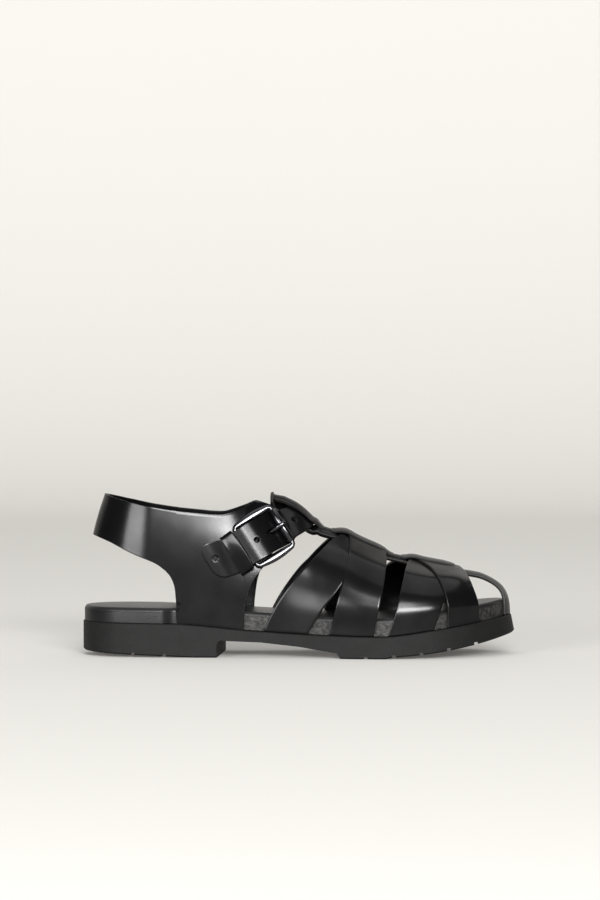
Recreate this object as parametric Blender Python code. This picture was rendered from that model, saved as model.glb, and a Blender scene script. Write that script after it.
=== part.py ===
"""Black leather fisherman sandal, right foot, standing empty on its sole.

The toe points along +X, the outer side with the buckle faces -Y, and the floor is z = 0.
Everything is worked out from the last: sections across the foot, each a foot-level edge
on both sides and a ridge on top. Straps are bands of leather that follow the last.
"""
import math

import bmesh
import bpy
from mathutils import Matrix, Vector
from mathutils.bvhtree import BVHTree

# Driving dimensions, in metres
LENGTH = 0.268
BALL_WIDTH = 0.096
HEEL_HEIGHT = 0.0214
INSTEP_RISE = 0.086
QUARTER_RISE = 0.078
MIDSOLE_THICKNESS = 0.0065
INSOLE_THICKNESS = 0.0025
LEATHER = 0.0020
WELT_MARGIN = 0.0018
HEEL_MARGIN = 0.0007
TOE_SLANT = 0.0019
SOLE_BEVEL = 0.0014
GROOVE_WIDTH = 0.0024
GROOVE_DEPTH = 0.0016
CENTRE_STRAP_WIDTH = 0.018
BRIDGE_WIDTH = 0.0116
TOE_STRAP_WIDTH = 0.012
BUCKLE_STRAP_WIDTH = 0.0235
BUCKLE_LENGTH = 0.0289
BUCKLE_WIDTH = 0.0310
BUCKLE_WIRE = 0.0028
BUCKLE_CORNER = 0.0022
ROLLER_WALL = 0.00065
PRONG_WIRE = 0.0020
KEEPER_LENGTH = 0.0076
KEEPER_WALL = 0.0014
LOOP_WALL = 0.0009
LOOP_WIDTH = 0.018
HOLE_DIAMETER = 0.0032
HOLE_PITCH = 0.0147
GAP = 0.0003
FUSE = 0.0006
WELD = 0.00004

# Sole edge seen from above: along LENGTH, outer and inner side as shares of BALL_WIDTH
SOLE_OUTLINE = (
    {"along": 0.00, "outer": 0.000, "inner": 0.000},
    {"along": 0.03, "outer": -0.218, "inner": 0.218},
    {"along": 0.08, "outer": -0.302, "inner": 0.302},
    {"along": 0.15, "outer": -0.338, "inner": 0.335},
    {"along": 0.25, "outer": -0.349, "inner": 0.333},
    {"along": 0.35, "outer": -0.359, "inner": 0.307},
    {"along": 0.45, "outer": -0.385, "inner": 0.307},
    {"along": 0.55, "outer": -0.437, "inner": 0.354},
    {"along": 0.65, "outer": -0.484, "inner": 0.437},
    {"along": 0.72, "outer": -0.500, "inner": 0.479},
    {"along": 0.80, "outer": -0.474, "inner": 0.484},
    {"along": 0.88, "outer": -0.390, "inner": 0.435},
    {"along": 0.94, "outer": -0.272, "inner": 0.348},
    {"along": 0.98, "outer": -0.125, "inner": 0.236},
    {"along": 1.00, "outer": 0.068, "inner": 0.068},
)

# Sole from the side: top and bottom as shares of HEEL_HEIGHT, midsole of its own thickness
SOLE_TOP = ((0, 1.0), (0.21, 0.963), (0.40, 0.766), (0.567, 0.659), (0.68, 0.631),
            (0.813, 0.818), (0.914, 1.005), (1, 1.168))
SOLE_BOTTOM = ((0, 0.11), (0.045, 0), (0.69, 0), (0.713, 0.042), (0.78, 0.117),
               (0.828, 0.196), (0.896, 0.35), (1, 0.654))
MIDSOLE_SHARE = ((0, 1.0), (0.2, 1.0), (0.4, 1.30), (0.7, 1.22), (0.95, 1.15), (1, 1.05))

# Hollow under the arch: along LENGTH and height as a share of HEEL_HEIGHT
BREAST_OUTER = 0.306
BREAST_INNER = 0.334
BREAST_FILLET = 0.012
ARCH = ((0.336, 0.495), (0.41, 0.449), (0.504, 0.327), (0.541, 0.248), (0.586, 0.164),
        (0.594, 0.02), (0.597, -0.3))
HEEL_GROOVES = (0.1175, 0.190)
FOREFOOT_GROOVES = (0.653, 0.717, 0.780, 0.843, 0.906)

# Ridge of the last: along LENGTH, height over the sole as a share of INSTEP_RISE
RIDGE = ((0.0, 1.75), (0.15, 1.73), (0.30, 1.50), (0.373, 1.149), (0.41, 1.019),
         (0.437, 0.948), (0.459, 0.909), (0.485, 0.873), (0.504, 0.831), (0.526, 0.772),
         (0.545, 0.748), (0.56, 0.730), (0.60, 0.698), (0.634, 0.645), (0.68, 0.583),
         (0.705, 0.550), (0.746, 0.507), (0.79, 0.450), (0.832, 0.407), (0.866, 0.370),
         (0.882, 0.335), (0.914, 0.297), (0.94, 0.249), (0.963, 0.202), (0.972, 0.165),
         (0.98, 0.0))
RIDGE_SIDE = ((0.3, 0.0), (0.45, 0.005), (0.6, 0.02), (0.75, 0.035), (0.9, 0.055), (1, 0.068))
WALL_SHARE = 1.03

# Back of the heel: height over the sole as a share of QUARTER_RISE, along LENGTH
HEEL_ROUND = 0.135
HEEL_BACK = ((0.4, 0.0185), (0.5, 0.0205), (0.68, 0.0295), (0.85, 0.0425), (1.0, 0.057))

# Quarter: distance from the back of the heel along LENGTH, lower and upper edge
# as shares of QUARTER_RISE over the sole, the same on both sides up to the panels
QUARTER = (
    {"along": 0.000, "low": 0.679, "high": 1.002},
    {"along": 0.022, "low": 0.677, "high": 1.000},
    {"along": 0.044, "low": 0.668, "high": 0.993},
    {"along": 0.066, "low": 0.652, "high": 0.983},
    {"along": 0.086, "low": 0.630, "high": 0.971},
    {"along": 0.104, "low": 0.600, "high": 0.958},
    {"along": 0.121, "low": 0.566, "high": 0.946},
    {"along": 0.140, "low": 0.529, "high": 0.930},
    {"along": 0.157, "low": 0.497, "high": 0.916},
    {"along": 0.172, "low": 0.466, "high": 0.906},
    {"along": 0.185, "low": 0.436, "high": 0.899},
    {"along": 0.196, "low": 0.404, "high": 0.894},
    {"along": 0.205, "low": 0.366, "high": 0.890},
    {"along": 0.212, "low": 0.310, "high": 0.888},
    {"along": 0.217, "low": 0.180, "high": 0.886},
    {"along": 0.221, "low": 0.000, "high": 0.884},
    {"along": 0.245, "low": 0.000, "high": 0.880},
    {"along": 0.272, "low": 0.000, "high": 0.878},
    {"along": 0.300, "low": 0.000, "high": 0.879},
    {"along": 0.325, "low": 0.000, "high": 0.888},
    {"along": 0.350, "low": 0.000, "high": 0.921},
)
OUTER_FRONT = (
    {"along": 0.371, "low": 0.000, "high": 0.953},
    {"along": 0.375, "low": 0.150, "high": 0.958},
    {"along": 0.382, "low": 0.270, "high": 0.970},
    {"along": 0.394, "low": 0.382, "high": 0.984},
    {"along": 0.410, "low": 0.468, "high": 0.990},
    {"along": 0.426, "low": 0.540, "high": 0.978},
    {"along": 0.440, "low": 0.620, "high": 0.940},
    {"along": 0.450, "low": 0.720, "high": 0.880},
)
# Inner panel and the strap that grows out of it: both edges as places on the last,
# along LENGTH and turned down from the ridge, -1 the outer foot, 1 the inner foot
INSTEP = (
    {"rear": 0.372, "rear_turn": 0.458, "front": 0.376, "front_turn": 1.000},
    {"rear": 0.390, "rear_turn": 0.382, "front": 0.391, "front_turn": 1.000},
    {"rear": 0.403, "rear_turn": 0.340, "front": 0.397, "front_turn": 0.880},
    {"rear": 0.415, "rear_turn": 0.312, "front": 0.406, "front_turn": 0.770},
    {"rear": 0.427, "rear_turn": 0.285, "front": 0.424, "front_turn": 0.670},
    {"rear": 0.439, "rear_turn": 0.250, "front": 0.449, "front_turn": 0.575},
    {"rear": 0.450, "rear_turn": 0.210, "front": 0.474, "front_turn": 0.485},
    {"rear": 0.461, "rear_turn": 0.155, "front": 0.497, "front_turn": 0.385},
    {"rear": 0.471, "rear_turn": 0.085, "front": 0.517, "front_turn": 0.265},
    {"rear": 0.478, "rear_turn": 0.000, "front": 0.531, "front_turn": 0.110},
    {"rear": 0.477, "rear_turn": -0.085, "front": 0.533, "front_turn": -0.050},
    {"rear": 0.470, "rear_turn": -0.160, "front": 0.524, "front_turn": -0.200},
    {"rear": 0.458, "rear_turn": -0.225, "front": 0.509, "front_turn": -0.330},
)

# Cross straps: turn over the last, rear and front edge along LENGTH
REAR_PAIR = (
    {"turn": -1.00, "rear": 0.419, "front": 0.520},
    {"turn": -0.86, "rear": 0.450, "front": 0.551},
    {"turn": -0.70, "rear": 0.492, "front": 0.590},
    {"turn": -0.50, "rear": 0.535, "front": 0.628},
    {"turn": -0.30, "rear": 0.571, "front": 0.657},
    {"turn": -0.10, "rear": 0.600, "front": 0.681},
    {"turn": 0.10, "rear": 0.612, "front": 0.695},
    {"turn": 0.30, "rear": 0.613, "front": 0.699},
    {"turn": 0.50, "rear": 0.608, "front": 0.696},
    {"turn": 0.70, "rear": 0.596, "front": 0.688},
    {"turn": 0.86, "rear": 0.582, "front": 0.679},
    {"turn": 1.00, "rear": 0.570, "front": 0.671},
)
FRONT_PAIR = (
    {"turn": -1.00, "rear": 0.704, "front": 0.808},
    {"turn": -0.80, "rear": 0.721, "front": 0.823},
    {"turn": -0.57, "rear": 0.734, "front": 0.838},
    {"turn": -0.30, "rear": 0.746, "front": 0.852},
    {"turn": -0.10, "rear": 0.756, "front": 0.864},
    {"turn": 0.10, "rear": 0.774, "front": 0.876},
    {"turn": 0.30, "rear": 0.806, "front": 0.889},
    {"turn": 0.50, "rear": 0.824, "front": 0.897},
    {"turn": 0.70, "rear": 0.835, "front": 0.905},
    {"turn": 0.86, "rear": 0.838, "front": 0.909},
    {"turn": 1.00, "rear": 0.838, "front": 0.911},
)
INNER_SHIFT = -0.019
LIFT_FULL = 0.74
LIFT_END = 0.95

# Centre strap: along LENGTH, "level" 0 on the last, -1 under a crossing, 1 over it
CENTRE_STRAP = (
    {"along": 0.430, "level": 0.0}, {"along": 0.437, "level": -0.15}, {"along": 0.448, "level": -1},
    {"along": 0.458, "level": -1}, {"along": 0.475, "level": -1}, {"along": 0.495, "level": -1},
    {"along": 0.512, "level": -1}, {"along": 0.526, "level": -1}, {"along": 0.539, "level": -1},
    {"along": 0.553, "level": 0}, {"along": 0.572, "level": 0},
    {"along": 0.596, "level": -1}, {"along": 0.62, "level": -1}, {"along": 0.645, "level": -1},
    {"along": 0.67, "level": -1}, {"along": 0.692, "level": -1}, {"along": 0.713, "level": 0},
    {"along": 0.733, "level": 0}, {"along": 0.756, "level": -1}, {"along": 0.78, "level": -1},
    {"along": 0.81, "level": -1}, {"along": 0.84, "level": -1}, {"along": 0.862, "level": -1},
)
INSTEP_BRIDGE = ((0.434, 0), (0.441, 0.2), (0.450, 0.6), (0.461, 1), (0.470, 1), (0.485, 1),
                 (0.503, 1), (0.514, 1), (0.526, 1), (0.537, 1), (0.546, 0.6), (0.555, 0.2),
                 (0.562, 0))
REAR_BRIDGE = ((0.575, 0), (0.584, 0.25), (0.596, 0.75), (0.608, 1), (0.625, 1), (0.645, 1),
               (0.665, 1), (0.680, 0.95), (0.693, 0.7), (0.705, 0.25), (0.717, 0))
FRONT_BRIDGE = ((0.737, 0), (0.747, 0.3), (0.758, 0.8), (0.770, 1), (0.790, 1), (0.810, 1),
                (0.830, 1), (0.845, 0.85), (0.858, 0.62))
# Toe strap, seen from the side: along LENGTH, height over the sole share of INSTEP_RISE
TOE_STRAP = ((0.850, 0.367), (0.868, 0.346), (0.884, 0.332), (0.900, 0.317), (0.918, 0.297),
             (0.934, 0.270), (0.948, 0.240), (0.960, 0.207), (0.968, 0.175), (0.9735, 0.135),
             (0.9765, 0.085), (0.9775, 0.035), (0.9778, 0.0))

# Buckle: its centre on the last, the strap's slope seen from the side, in degrees
BUCKLE_ALONG = 0.417
BUCKLE_TURN = -0.540
BUCKLE_SLOPE = 30.5
BUCKLE_ROLL = 2.3
# Strap from the instep to its tip: along the buckle's own axis as a share of
# BUCKLE_LENGTH, height over the quarter as a share of BUCKLE_WIRE, lean with the quarter,
# share of the half width
STRAP_END = (
    {"along": 0.620, "height": -0.68, "tilt": 1.0, "half": 0.87},
    {"along": 0.530, "height": -0.25, "tilt": 0.5, "half": 0.94},
    {"along": 0.440, "height": 0.22, "tilt": 0.0, "half": 1.00},
    {"along": 0.340, "height": 0.36, "tilt": 0.0, "half": 1.00},
    {"along": 0.240, "height": 0.70, "tilt": 0.0, "half": 1.00},
    {"along": 0.120, "height": 1.05, "tilt": 0.0, "half": 1.00},
    {"along": -0.040, "height": 1.38, "tilt": 0.0, "half": 1.00},
    {"along": -0.200, "height": 1.65, "tilt": 0.0, "half": 1.00},
    {"along": -0.340, "height": 1.90, "tilt": 0.0, "half": 1.00},
    {"along": -0.455, "height": 2.02, "tilt": 0.0, "half": 1.00},
    {"along": -0.560, "height": 1.80, "tilt": 0.1, "half": 1.00},
    {"along": -0.670, "height": 1.28, "tilt": 0.4, "half": 1.00},
    {"along": -0.800, "height": 0.58, "tilt": 0.8, "half": 1.00},
    {"along": -0.960, "height": 0.24, "tilt": 1.0, "half": 1.00},
    {"along": -1.120, "height": 0.18, "tilt": 1.0, "half": 1.00},
    {"along": -1.270, "height": 0.18, "tilt": 1.0, "half": 0.97},
    {"along": -1.360, "height": 0.18, "tilt": 1.0, "half": 0.86},
    {"along": -1.420, "height": 0.18, "tilt": 1.0, "half": 0.66},
    {"along": -1.445, "height": 0.18, "tilt": 1.0, "half": 0.42},
)
KEEPER_PLACE = -0.69
# Prong past its hook: along as a share of BUCKLE_LENGTH, height over the hinge bar as
# a share of BUCKLE_WIRE, thickness share
PRONG_PATH = ((-0.315, 0.10, 0.9), (-0.23, -0.04, 1.0), (0.02, -0.02, 1.0), (0.11, 0.22, 1.0),
              (0.19, 0.75, 1.0), (0.27, 1.45, 1.0), (0.35, 2.02, 1.0))
PRONG_TIP = ((0.0, 0.0, 1.0), (0.06, -0.02, 0.95), (0.115, -0.10, 0.85))
PRONG_HOOK_WIRE = 0.0010

SOLE_STATIONS = 44
STRAP_ROWS = 24


def spline(table, place):
    """Smooth value of a table of (place, value) rows that never overshoots them."""
    places = [row[0] for row in table]
    values = [row[1] for row in table]
    last = len(places) - 1
    if place <= places[0]:
        return values[0]
    if place >= places[last]:
        return values[last]
    index = max(i for i in range(last) if places[i] <= place)
    slopes = [(values[i + 1] - values[i]) / (places[i + 1] - places[i]) for i in range(last)]

    def tangent(i):
        if i == 0 or i == last:
            return slopes[min(i, last - 1)]
        before, after = slopes[i - 1], slopes[i]
        return 0 if before * after <= 0 else 2 * before * after / (before + after)

    step = places[index + 1] - places[index]
    t = (place - places[index]) / step
    rise = (2 * t ** 3 - 3 * t * t + 1) * values[index] + (3 * t * t - 2 * t ** 3) * values[index + 1]
    return rise + step * ((t ** 3 - 2 * t * t + t) * tangent(index)
                          + (t ** 3 - t * t) * tangent(index + 1))


def column(table, place_name, value_name):
    """Two named columns of a table, as the rows that spline reads."""
    return [(row[place_name], row[value_name]) for row in table]


def sole_top(x):
    return spline(SOLE_TOP, x / LENGTH) * HEEL_HEIGHT


def sole_bottom(x):
    return spline(SOLE_BOTTOM, x / LENGTH) * HEEL_HEIGHT


def midsole_thickness(x):
    return spline(MIDSOLE_SHARE, x / LENGTH) * MIDSOLE_THICKNESS


def smooth_step(value):
    value = min(max(value, 0.0), 1.0)
    return value * value * (3 - 2 * value)


def edge_angle(along):
    """The outline is smooth in this angle, which runs from 0 at the heel to pi at the toe."""
    return math.acos(max(-1.0, min(1.0, 1 - 2 * along)))


OUTLINE_SPLINES = {
    side: [(edge_angle(row["along"]), row[side]) for row in SOLE_OUTLINE]
    for side in ("outer", "inner")
}


def edge_point(angle, side, inset, slant=TOE_SLANT):
    """Point of the sole's top edge, moved inwards at right angles by inset."""
    def plain(value):
        value = min(max(value, 0.0), math.pi)
        along = (1 - math.cos(value)) / 2
        x = along * LENGTH - slant * smooth_step((along - 0.85) / 0.15)
        return Vector((x, spline(OUTLINE_SPLINES[side], value) * BALL_WIDTH))

    small = 0.02
    here = plain(angle)
    run = plain(angle + small) - plain(angle - small)
    if angle < small or angle > math.pi - small:
        run = Vector((0, 1 if side == "inner" else -1)) * (1 if angle < small else -1)
    run.normalize()
    inward = Vector((run.y, -run.x)) if side == "inner" else Vector((-run.y, run.x))
    return here + inward * inset


def edge_table(side, inset):
    """Outline at an inset as (x, y) rows, for reading y at any x."""
    rows = []
    for i in range(1, 160):
        point = edge_point(math.pi * i / 160, side, inset)
        if not rows or point.x > rows[-1][0] + 1e-6:
            rows.append((point.x, point.y))
    return rows


STRAP_INSET = WELT_MARGIN + LEATHER
LAST_EDGES = {side: edge_table(side, STRAP_INSET) for side in ("outer", "inner")}


def read(rows, x):
    """Straight reading of a fine table of (x, y) rows."""
    if x <= rows[0][0]:
        return rows[0][1]
    for (x0, y0), (x1, y1) in zip(rows, rows[1:]):
        if x <= x1:
            return y0 + (y1 - y0) * (x - x0) / (x1 - x0)
    return rows[-1][1]


def foot_level(x):
    return sole_top(x) + GAP


def ridge_height(x):
    return foot_level(x) + spline(RIDGE, x / LENGTH) * INSTEP_RISE


def side_width(x, z, side):
    """Distance of the last's side from its middle, at one height."""
    middle = spline(RIDGE_SIDE, x / LENGTH) * BALL_WIDTH
    wall_top = foot_level(x) + WALL_SHARE * (midsole_thickness(x) + INSOLE_THICKNESS)
    share = (z - wall_top) / max(ridge_height(x) - wall_top, 1e-6)
    share = min(max(share, 0.0), 1.0)
    edge = read(LAST_EDGES[side], x) - middle
    return middle, edge * math.sqrt(1 - share * share)


def on_last(along, turn):
    """Point of the last: turn is 0 on the ridge, -1 at the outer foot, 1 at the inner."""
    x = along * LENGTH
    low = foot_level(x)
    z = low + (ridge_height(x) - low) * math.sin((1 - abs(turn)) * math.pi / 2)
    middle, width = side_width(x, z, "outer" if turn < 0 else "inner")
    return Vector((x, middle + width, z))


def round_heel(along, rise):
    """Point of the last by distance from the heel's back and height over the sole."""
    side = "outer" if along < 0 else "inner"
    distance = abs(along)
    if distance >= HEEL_ROUND:
        x = distance * LENGTH
        z = foot_level(x) + rise * QUARTER_RISE
        middle, width = side_width(x, z, side)
        return Vector((x, middle + width, z))
    x_side = HEEL_ROUND * LENGTH
    z = foot_level(x_side) + rise * QUARTER_RISE
    middle, width = side_width(x_side, z, side)
    x_back = spline(HEEL_BACK, rise) * LENGTH
    angle = distance / HEEL_ROUND * math.pi / 2
    return Vector((x_side - (x_side - x_back) * math.cos(angle), middle + width * math.sin(angle), z))


def new_object(name, mesh_maker):
    mesh = bpy.data.meshes.new(name)
    shape = bmesh.new()
    mesh_maker(shape)
    bmesh.ops.recalc_face_normals(shape, faces=shape.faces)
    shape.to_mesh(mesh)
    shape.free()
    result = bpy.data.objects.new(name, mesh)
    PARTS.objects.link(result)
    return result


def loft(name, sections, closed=False):
    """Solid through rings of equally many points, capped at both ends unless closed."""
    def make(shape):
        rings = [[shape.verts.new(point) for point in section] for section in sections]
        pairs = list(zip(rings, rings[1:] + rings[:1])) if closed else list(zip(rings, rings[1:]))
        for first, second in pairs:
            for i in range(len(first)):
                j = (i + 1) % len(first)
                shape.faces.new((first[i], first[j], second[j], second[i]))
        if not closed:
            shape.faces.new(rings[0][::-1])
            shape.faces.new(rings[-1])
        bmesh.ops.triangulate(shape, faces=[f for f in shape.faces if len(f.verts) > 4])
    return new_object(name, make)


def ribbon(name, grid, lifts, walls, outward):
    """Leather band over a grid of points, lifted off it and given its wall row by row."""
    rows, columns = len(grid), len(grid[0])
    sections = []
    for i in range(rows):
        inner, outer = [], []
        for j in range(columns):
            along = grid[min(i + 1, rows - 1)][j] - grid[max(i - 1, 0)][j]
            across = grid[i][min(j + 1, columns - 1)] - grid[i][max(j - 1, 0)]
            normal = along.cross(across).normalized() * outward
            inner.append(grid[i][j] + normal * lifts[i])
            outer.append(grid[i][j] + normal * (lifts[i] + walls[i]))
        sections.append(outer + inner[::-1])
    return loft(name, sections)


def join(base, others):
    """Union of strips that overlap clearly, kept as one solid."""
    for other in others:
        modifier = base.modifiers.new(other.name, "BOOLEAN")
        modifier.operation = "UNION"
        modifier.object = other
        modifier.solver = "EXACT"
    apply_modifiers(base)
    shape = bmesh.new()
    shape.from_mesh(base.data)
    bmesh.ops.remove_doubles(shape, verts=shape.verts, dist=WELD)
    bmesh.ops.dissolve_degenerate(shape, edges=shape.edges, dist=WELD)
    bmesh.ops.triangulate(shape, faces=shape.faces)
    shape.to_mesh(base.data)
    shape.free()
    for other in others:
        mesh = other.data
        bpy.data.objects.remove(other)
        bpy.data.meshes.remove(mesh)


def cut(base, cutters):
    for cutter in cutters:
        modifier = base.modifiers.new(cutter.name, "BOOLEAN")
        modifier.operation = "DIFFERENCE"
        modifier.object = cutter
        modifier.solver = "EXACT"
        PARTS.objects.unlink(cutter)
        CUTTERS.objects.link(cutter)
        cutter.hide_render = True
        cutter.display_type = "WIRE"


def apply_modifiers(base):
    bpy.context.view_layer.update()
    evaluated = base.evaluated_get(bpy.context.evaluated_depsgraph_get())
    mesh = bpy.data.meshes.new_from_object(evaluated)
    base.modifiers.clear()
    old = base.data
    base.data = mesh
    mesh.name = base.name
    bpy.data.meshes.remove(old)


def finish(piece, material, sharp_degrees=35):
    piece.data.materials.clear()
    piece.data.materials.append(material)
    piece.data.shade_smooth()
    piece.data.set_sharp_from_angle(angle=math.radians(sharp_degrees))


def plain_material(name, colour, roughness, metallic=0.0):
    material = bpy.data.materials.new(name)
    material.use_nodes = True
    shader = material.node_tree.nodes["Principled BSDF"]
    shader.inputs["Base Color"].default_value = (*colour, 1)
    shader.inputs["Roughness"].default_value = roughness
    shader.inputs["Metallic"].default_value = metallic
    material.diffuse_color = (*colour, 1)
    return material


def make_outsole():
    """One moulded rubber sole with its heel, hollow arch, toe spring and tread grooves."""
    sections = []
    for i in range(SOLE_STATIONS + 1):
        angle = math.pi * (0.014 + 0.972 * i / SOLE_STATIONS)
        ring = []
        for side, order in (("outer", 1), ("inner", -1)):
            top = edge_point(angle, side, 0)
            bottom = edge_point(angle, side, 0, slant=0)
            tread = edge_point(angle, side, SOLE_BEVEL, slant=0)
            points = [
                Vector((tread.x, tread.y, sole_bottom(tread.x))),
                Vector((bottom.x, bottom.y, sole_bottom(bottom.x) + SOLE_BEVEL)),
                Vector((top.x, top.y, sole_top(top.x))),
            ]
            ring += points[::order]
        sections.append(ring)
    sole = loft("outsole", sections)

    reach = BALL_WIDTH
    arch_sides = []
    for y, breast in ((-reach, BREAST_OUTER), (reach, BREAST_INNER)):
        y_share = BREAST_OUTER + (BREAST_INNER - BREAST_OUTER) * (y / BALL_WIDTH * 2 + 1) / 2
        top = ARCH[0][1] * HEEL_HEIGHT
        fillet = BREAST_FILLET * LENGTH
        x = y_share * LENGTH
        profile = [(x, -HEEL_HEIGHT), (x, top - fillet), (x + 0.3 * fillet, top - 0.3 * fillet),
                   (x + fillet, top)]
        profile += [(along * LENGTH + (x + fillet - ARCH[0][0] * LENGTH if i == 0 else 0),
                     height * HEEL_HEIGHT) for i, (along, height) in enumerate(ARCH) if i > 0]
        profile[-1] = (profile[-1][0], -HEEL_HEIGHT)
        arch_sides.append([Vector((px, y, pz)) for px, pz in profile])
    cutters = [loft("arch_cutter", arch_sides)]
    for along in HEEL_GROOVES + FOREFOOT_GROOVES:
        x = along * LENGTH
        top = sole_bottom(x) + GROOVE_DEPTH
        slope = (sole_bottom(x + GROOVE_WIDTH) - sole_bottom(x - GROOVE_WIDTH)) / 2 / GROOVE_WIDTH

        def groove(shape, x=x, top=top, slope=slope):
            bmesh.ops.create_cube(shape, size=1)
            bmesh.ops.scale(shape, verts=shape.verts, vec=(GROOVE_WIDTH, 2 * reach, 2 * HEEL_HEIGHT))
            bmesh.ops.translate(shape, verts=shape.verts, vec=(0, 0, -HEEL_HEIGHT))
            bmesh.ops.rotate(shape, verts=shape.verts, cent=(0, 0, 0),
                             matrix=Matrix.Rotation(-math.atan(slope), 3, "Y"))
            bmesh.ops.translate(shape, verts=shape.verts, vec=(x, 0, top))
        cutters.append(new_object("groove_cutter", groove))
    cut(sole, cutters)
    finish(sole, RUBBER, 30)


def footbed_inset(x):
    """The footbed is nearly flush round the heel and steps in behind the straps."""
    inside = STRAP_INSET + GAP
    return HEEL_MARGIN + (inside - HEEL_MARGIN) * smooth_step((x / LENGTH - 0.180) / 0.034)


def make_footbed(name, material, bottom, top, rim):
    sections = []
    for i in range(SOLE_STATIONS + 1):
        angle = math.pi * (0.035 + 0.93 * i / SOLE_STATIONS)
        ring = []
        for side, order in (("outer", 1), ("inner", -1)):
            rough = edge_point(angle, side, 0)
            wall = edge_point(angle, side, footbed_inset(rough.x))
            lip = edge_point(angle, side, footbed_inset(rough.x) + rim)
            points = [
                Vector((wall.x, wall.y, bottom(wall.x))),
                Vector((wall.x, wall.y, top(wall.x) - rim)),
                Vector((lip.x, lip.y, top(lip.x))),
            ]
            ring += points[::order]
        sections.append(ring)
    finish(loft(name, sections), material, 50)


def midsole_top(x):
    return foot_level(x) + midsole_thickness(x)


def insole_top(x):
    return midsole_top(x) + GAP + INSOLE_THICKNESS


def cross_strap(name, table, mirrored, inner_shift):
    """Band from one foot over the ridge to the other; the upper one of a pair is lifted."""
    rear, front = column(table, "turn", "rear"), column(table, "turn", "front")
    grid, lifts = [], []
    for i in range(STRAP_ROWS + 1):
        turn = -1 + 2 * i / STRAP_ROWS
        source = -turn if mirrored else turn
        shift = inner_shift * smooth_step(turn) if turn > 0 else 0
        edges = spline(rear, source) + shift, spline(front, source) + shift
        grid.append([on_last(edges[0] + (edges[1] - edges[0]) * j / 6, turn) for j in range(7)])
        raised = smooth_step((LIFT_END - abs(turn)) / (LIFT_END - LIFT_FULL))
        lifts.append((LEATHER - FUSE) * raised if mirrored else 0)
    return ribbon(name, grid, lifts, [LEATHER] * len(grid), -1)


def over_ridge(along, offset):
    """Point of the last at a sideways distance from its ridge."""
    x = along * LENGTH
    low, high = foot_level(x), ridge_height(x)
    wall_top = low + WALL_SHARE * (midsole_thickness(x) + INSOLE_THICKNESS)
    side = "outer" if offset < 0 else "inner"
    middle, edge = side_width(x, low, side)
    z = wall_top + (high - wall_top) * math.sqrt(max(0, 1 - (offset / edge) ** 2))
    turn = 1 - math.asin(min(1, (z - low) / (high - low))) * 2 / math.pi
    return on_last(along, math.copysign(turn, offset))


def ridge_band(name, width, rows):
    """Band along the ridge; rows hold its place, its lift and its wall."""
    grid = []
    for along, lift, wall in rows:
        grid.append([over_ridge(along, width * (j / 4 - 0.5)) for j in range(5)])
    return ribbon(name, grid, [row[1] for row in rows], [row[2] for row in rows], 1)


def bridge(name, table, full_lift, sunk_ends):
    """Slit middle of the centre strap that climbs over what crosses below it."""
    rows = []
    for i, (along, level) in enumerate(table):
        sunk = sunk_ends[0] if i == 0 else sunk_ends[1] if i == len(table) - 1 else None
        if sunk is None:
            rows.append((along, FUSE / 2 + level * (full_lift - FUSE / 2), LEATHER))
        else:
            rows.append((along, sunk, LEATHER / 2))
    return ridge_band(name, BRIDGE_WIDTH, rows)


def make_upper():
    """All the cross straps and the centre strap, joined where they meet."""
    under = -(LEATHER - GAP)
    below_instep_strap = -(LEATHER + 2 * GAP)
    rows = []
    for row in CENTRE_STRAP:
        depth = below_instep_strap if row["along"] < 0.55 else under
        lift = depth * -row["level"] if row["level"] < 0 else LEATHER * row["level"]
        rows.append((row["along"], lift if row["level"] >= 0 else depth, LEATHER))
    centre = ridge_band("upper", CENTRE_STRAP_WIDTH, rows)

    two_deep = 2 * (LEATHER - FUSE)
    embed = LEATHER * 0.22
    toe_grid = []
    for along, rise in TOE_STRAP:
        x = along * LENGTH
        middle = spline(RIDGE_SIDE, along) * BALL_WIDTH
        z = foot_level(x) + rise * INSTEP_RISE
        toe_grid.append([Vector((x, middle + TOE_STRAP_WIDTH * (j / 2 - 0.5), z)) for j in range(3)])
    toe_walls = [LEATHER] * len(toe_grid)
    toe = ribbon("toe_strap", toe_grid, [0] * len(toe_grid), toe_walls, 1)
    foot = min(vertex.co.z for vertex in toe.data.vertices)
    drop = foot_level(TOE_STRAP[-1][0] * LENGTH) - foot
    for vertex in toe.data.vertices:
        if vertex.co.z < foot + LEATHER / 2:
            vertex.co.z = foot + drop
    strips = [
        cross_strap("rear_under", REAR_PAIR, False, 0),
        cross_strap("rear_over", REAR_PAIR, True, 0),
        cross_strap("front_under", FRONT_PAIR, False, 0),
        cross_strap("front_over", FRONT_PAIR, True, INNER_SHIFT),
        bridge("instep_bridge", INSTEP_BRIDGE, LEATHER + 3 * GAP, (embed, embed)),
        bridge("rear_bridge", REAR_BRIDGE, two_deep, (embed, embed)),
        bridge("front_bridge", FRONT_BRIDGE, two_deep, (embed, LEATHER * 1.0)),
        toe,
    ]
    join(centre, strips)
    finish(centre, LEATHER_FINISH)


STRAP_HEIGHTS = sorted(column(STRAP_END, "along", "height"))
STRAP_TILTS = sorted(column(STRAP_END, "along", "tilt"))


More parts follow.
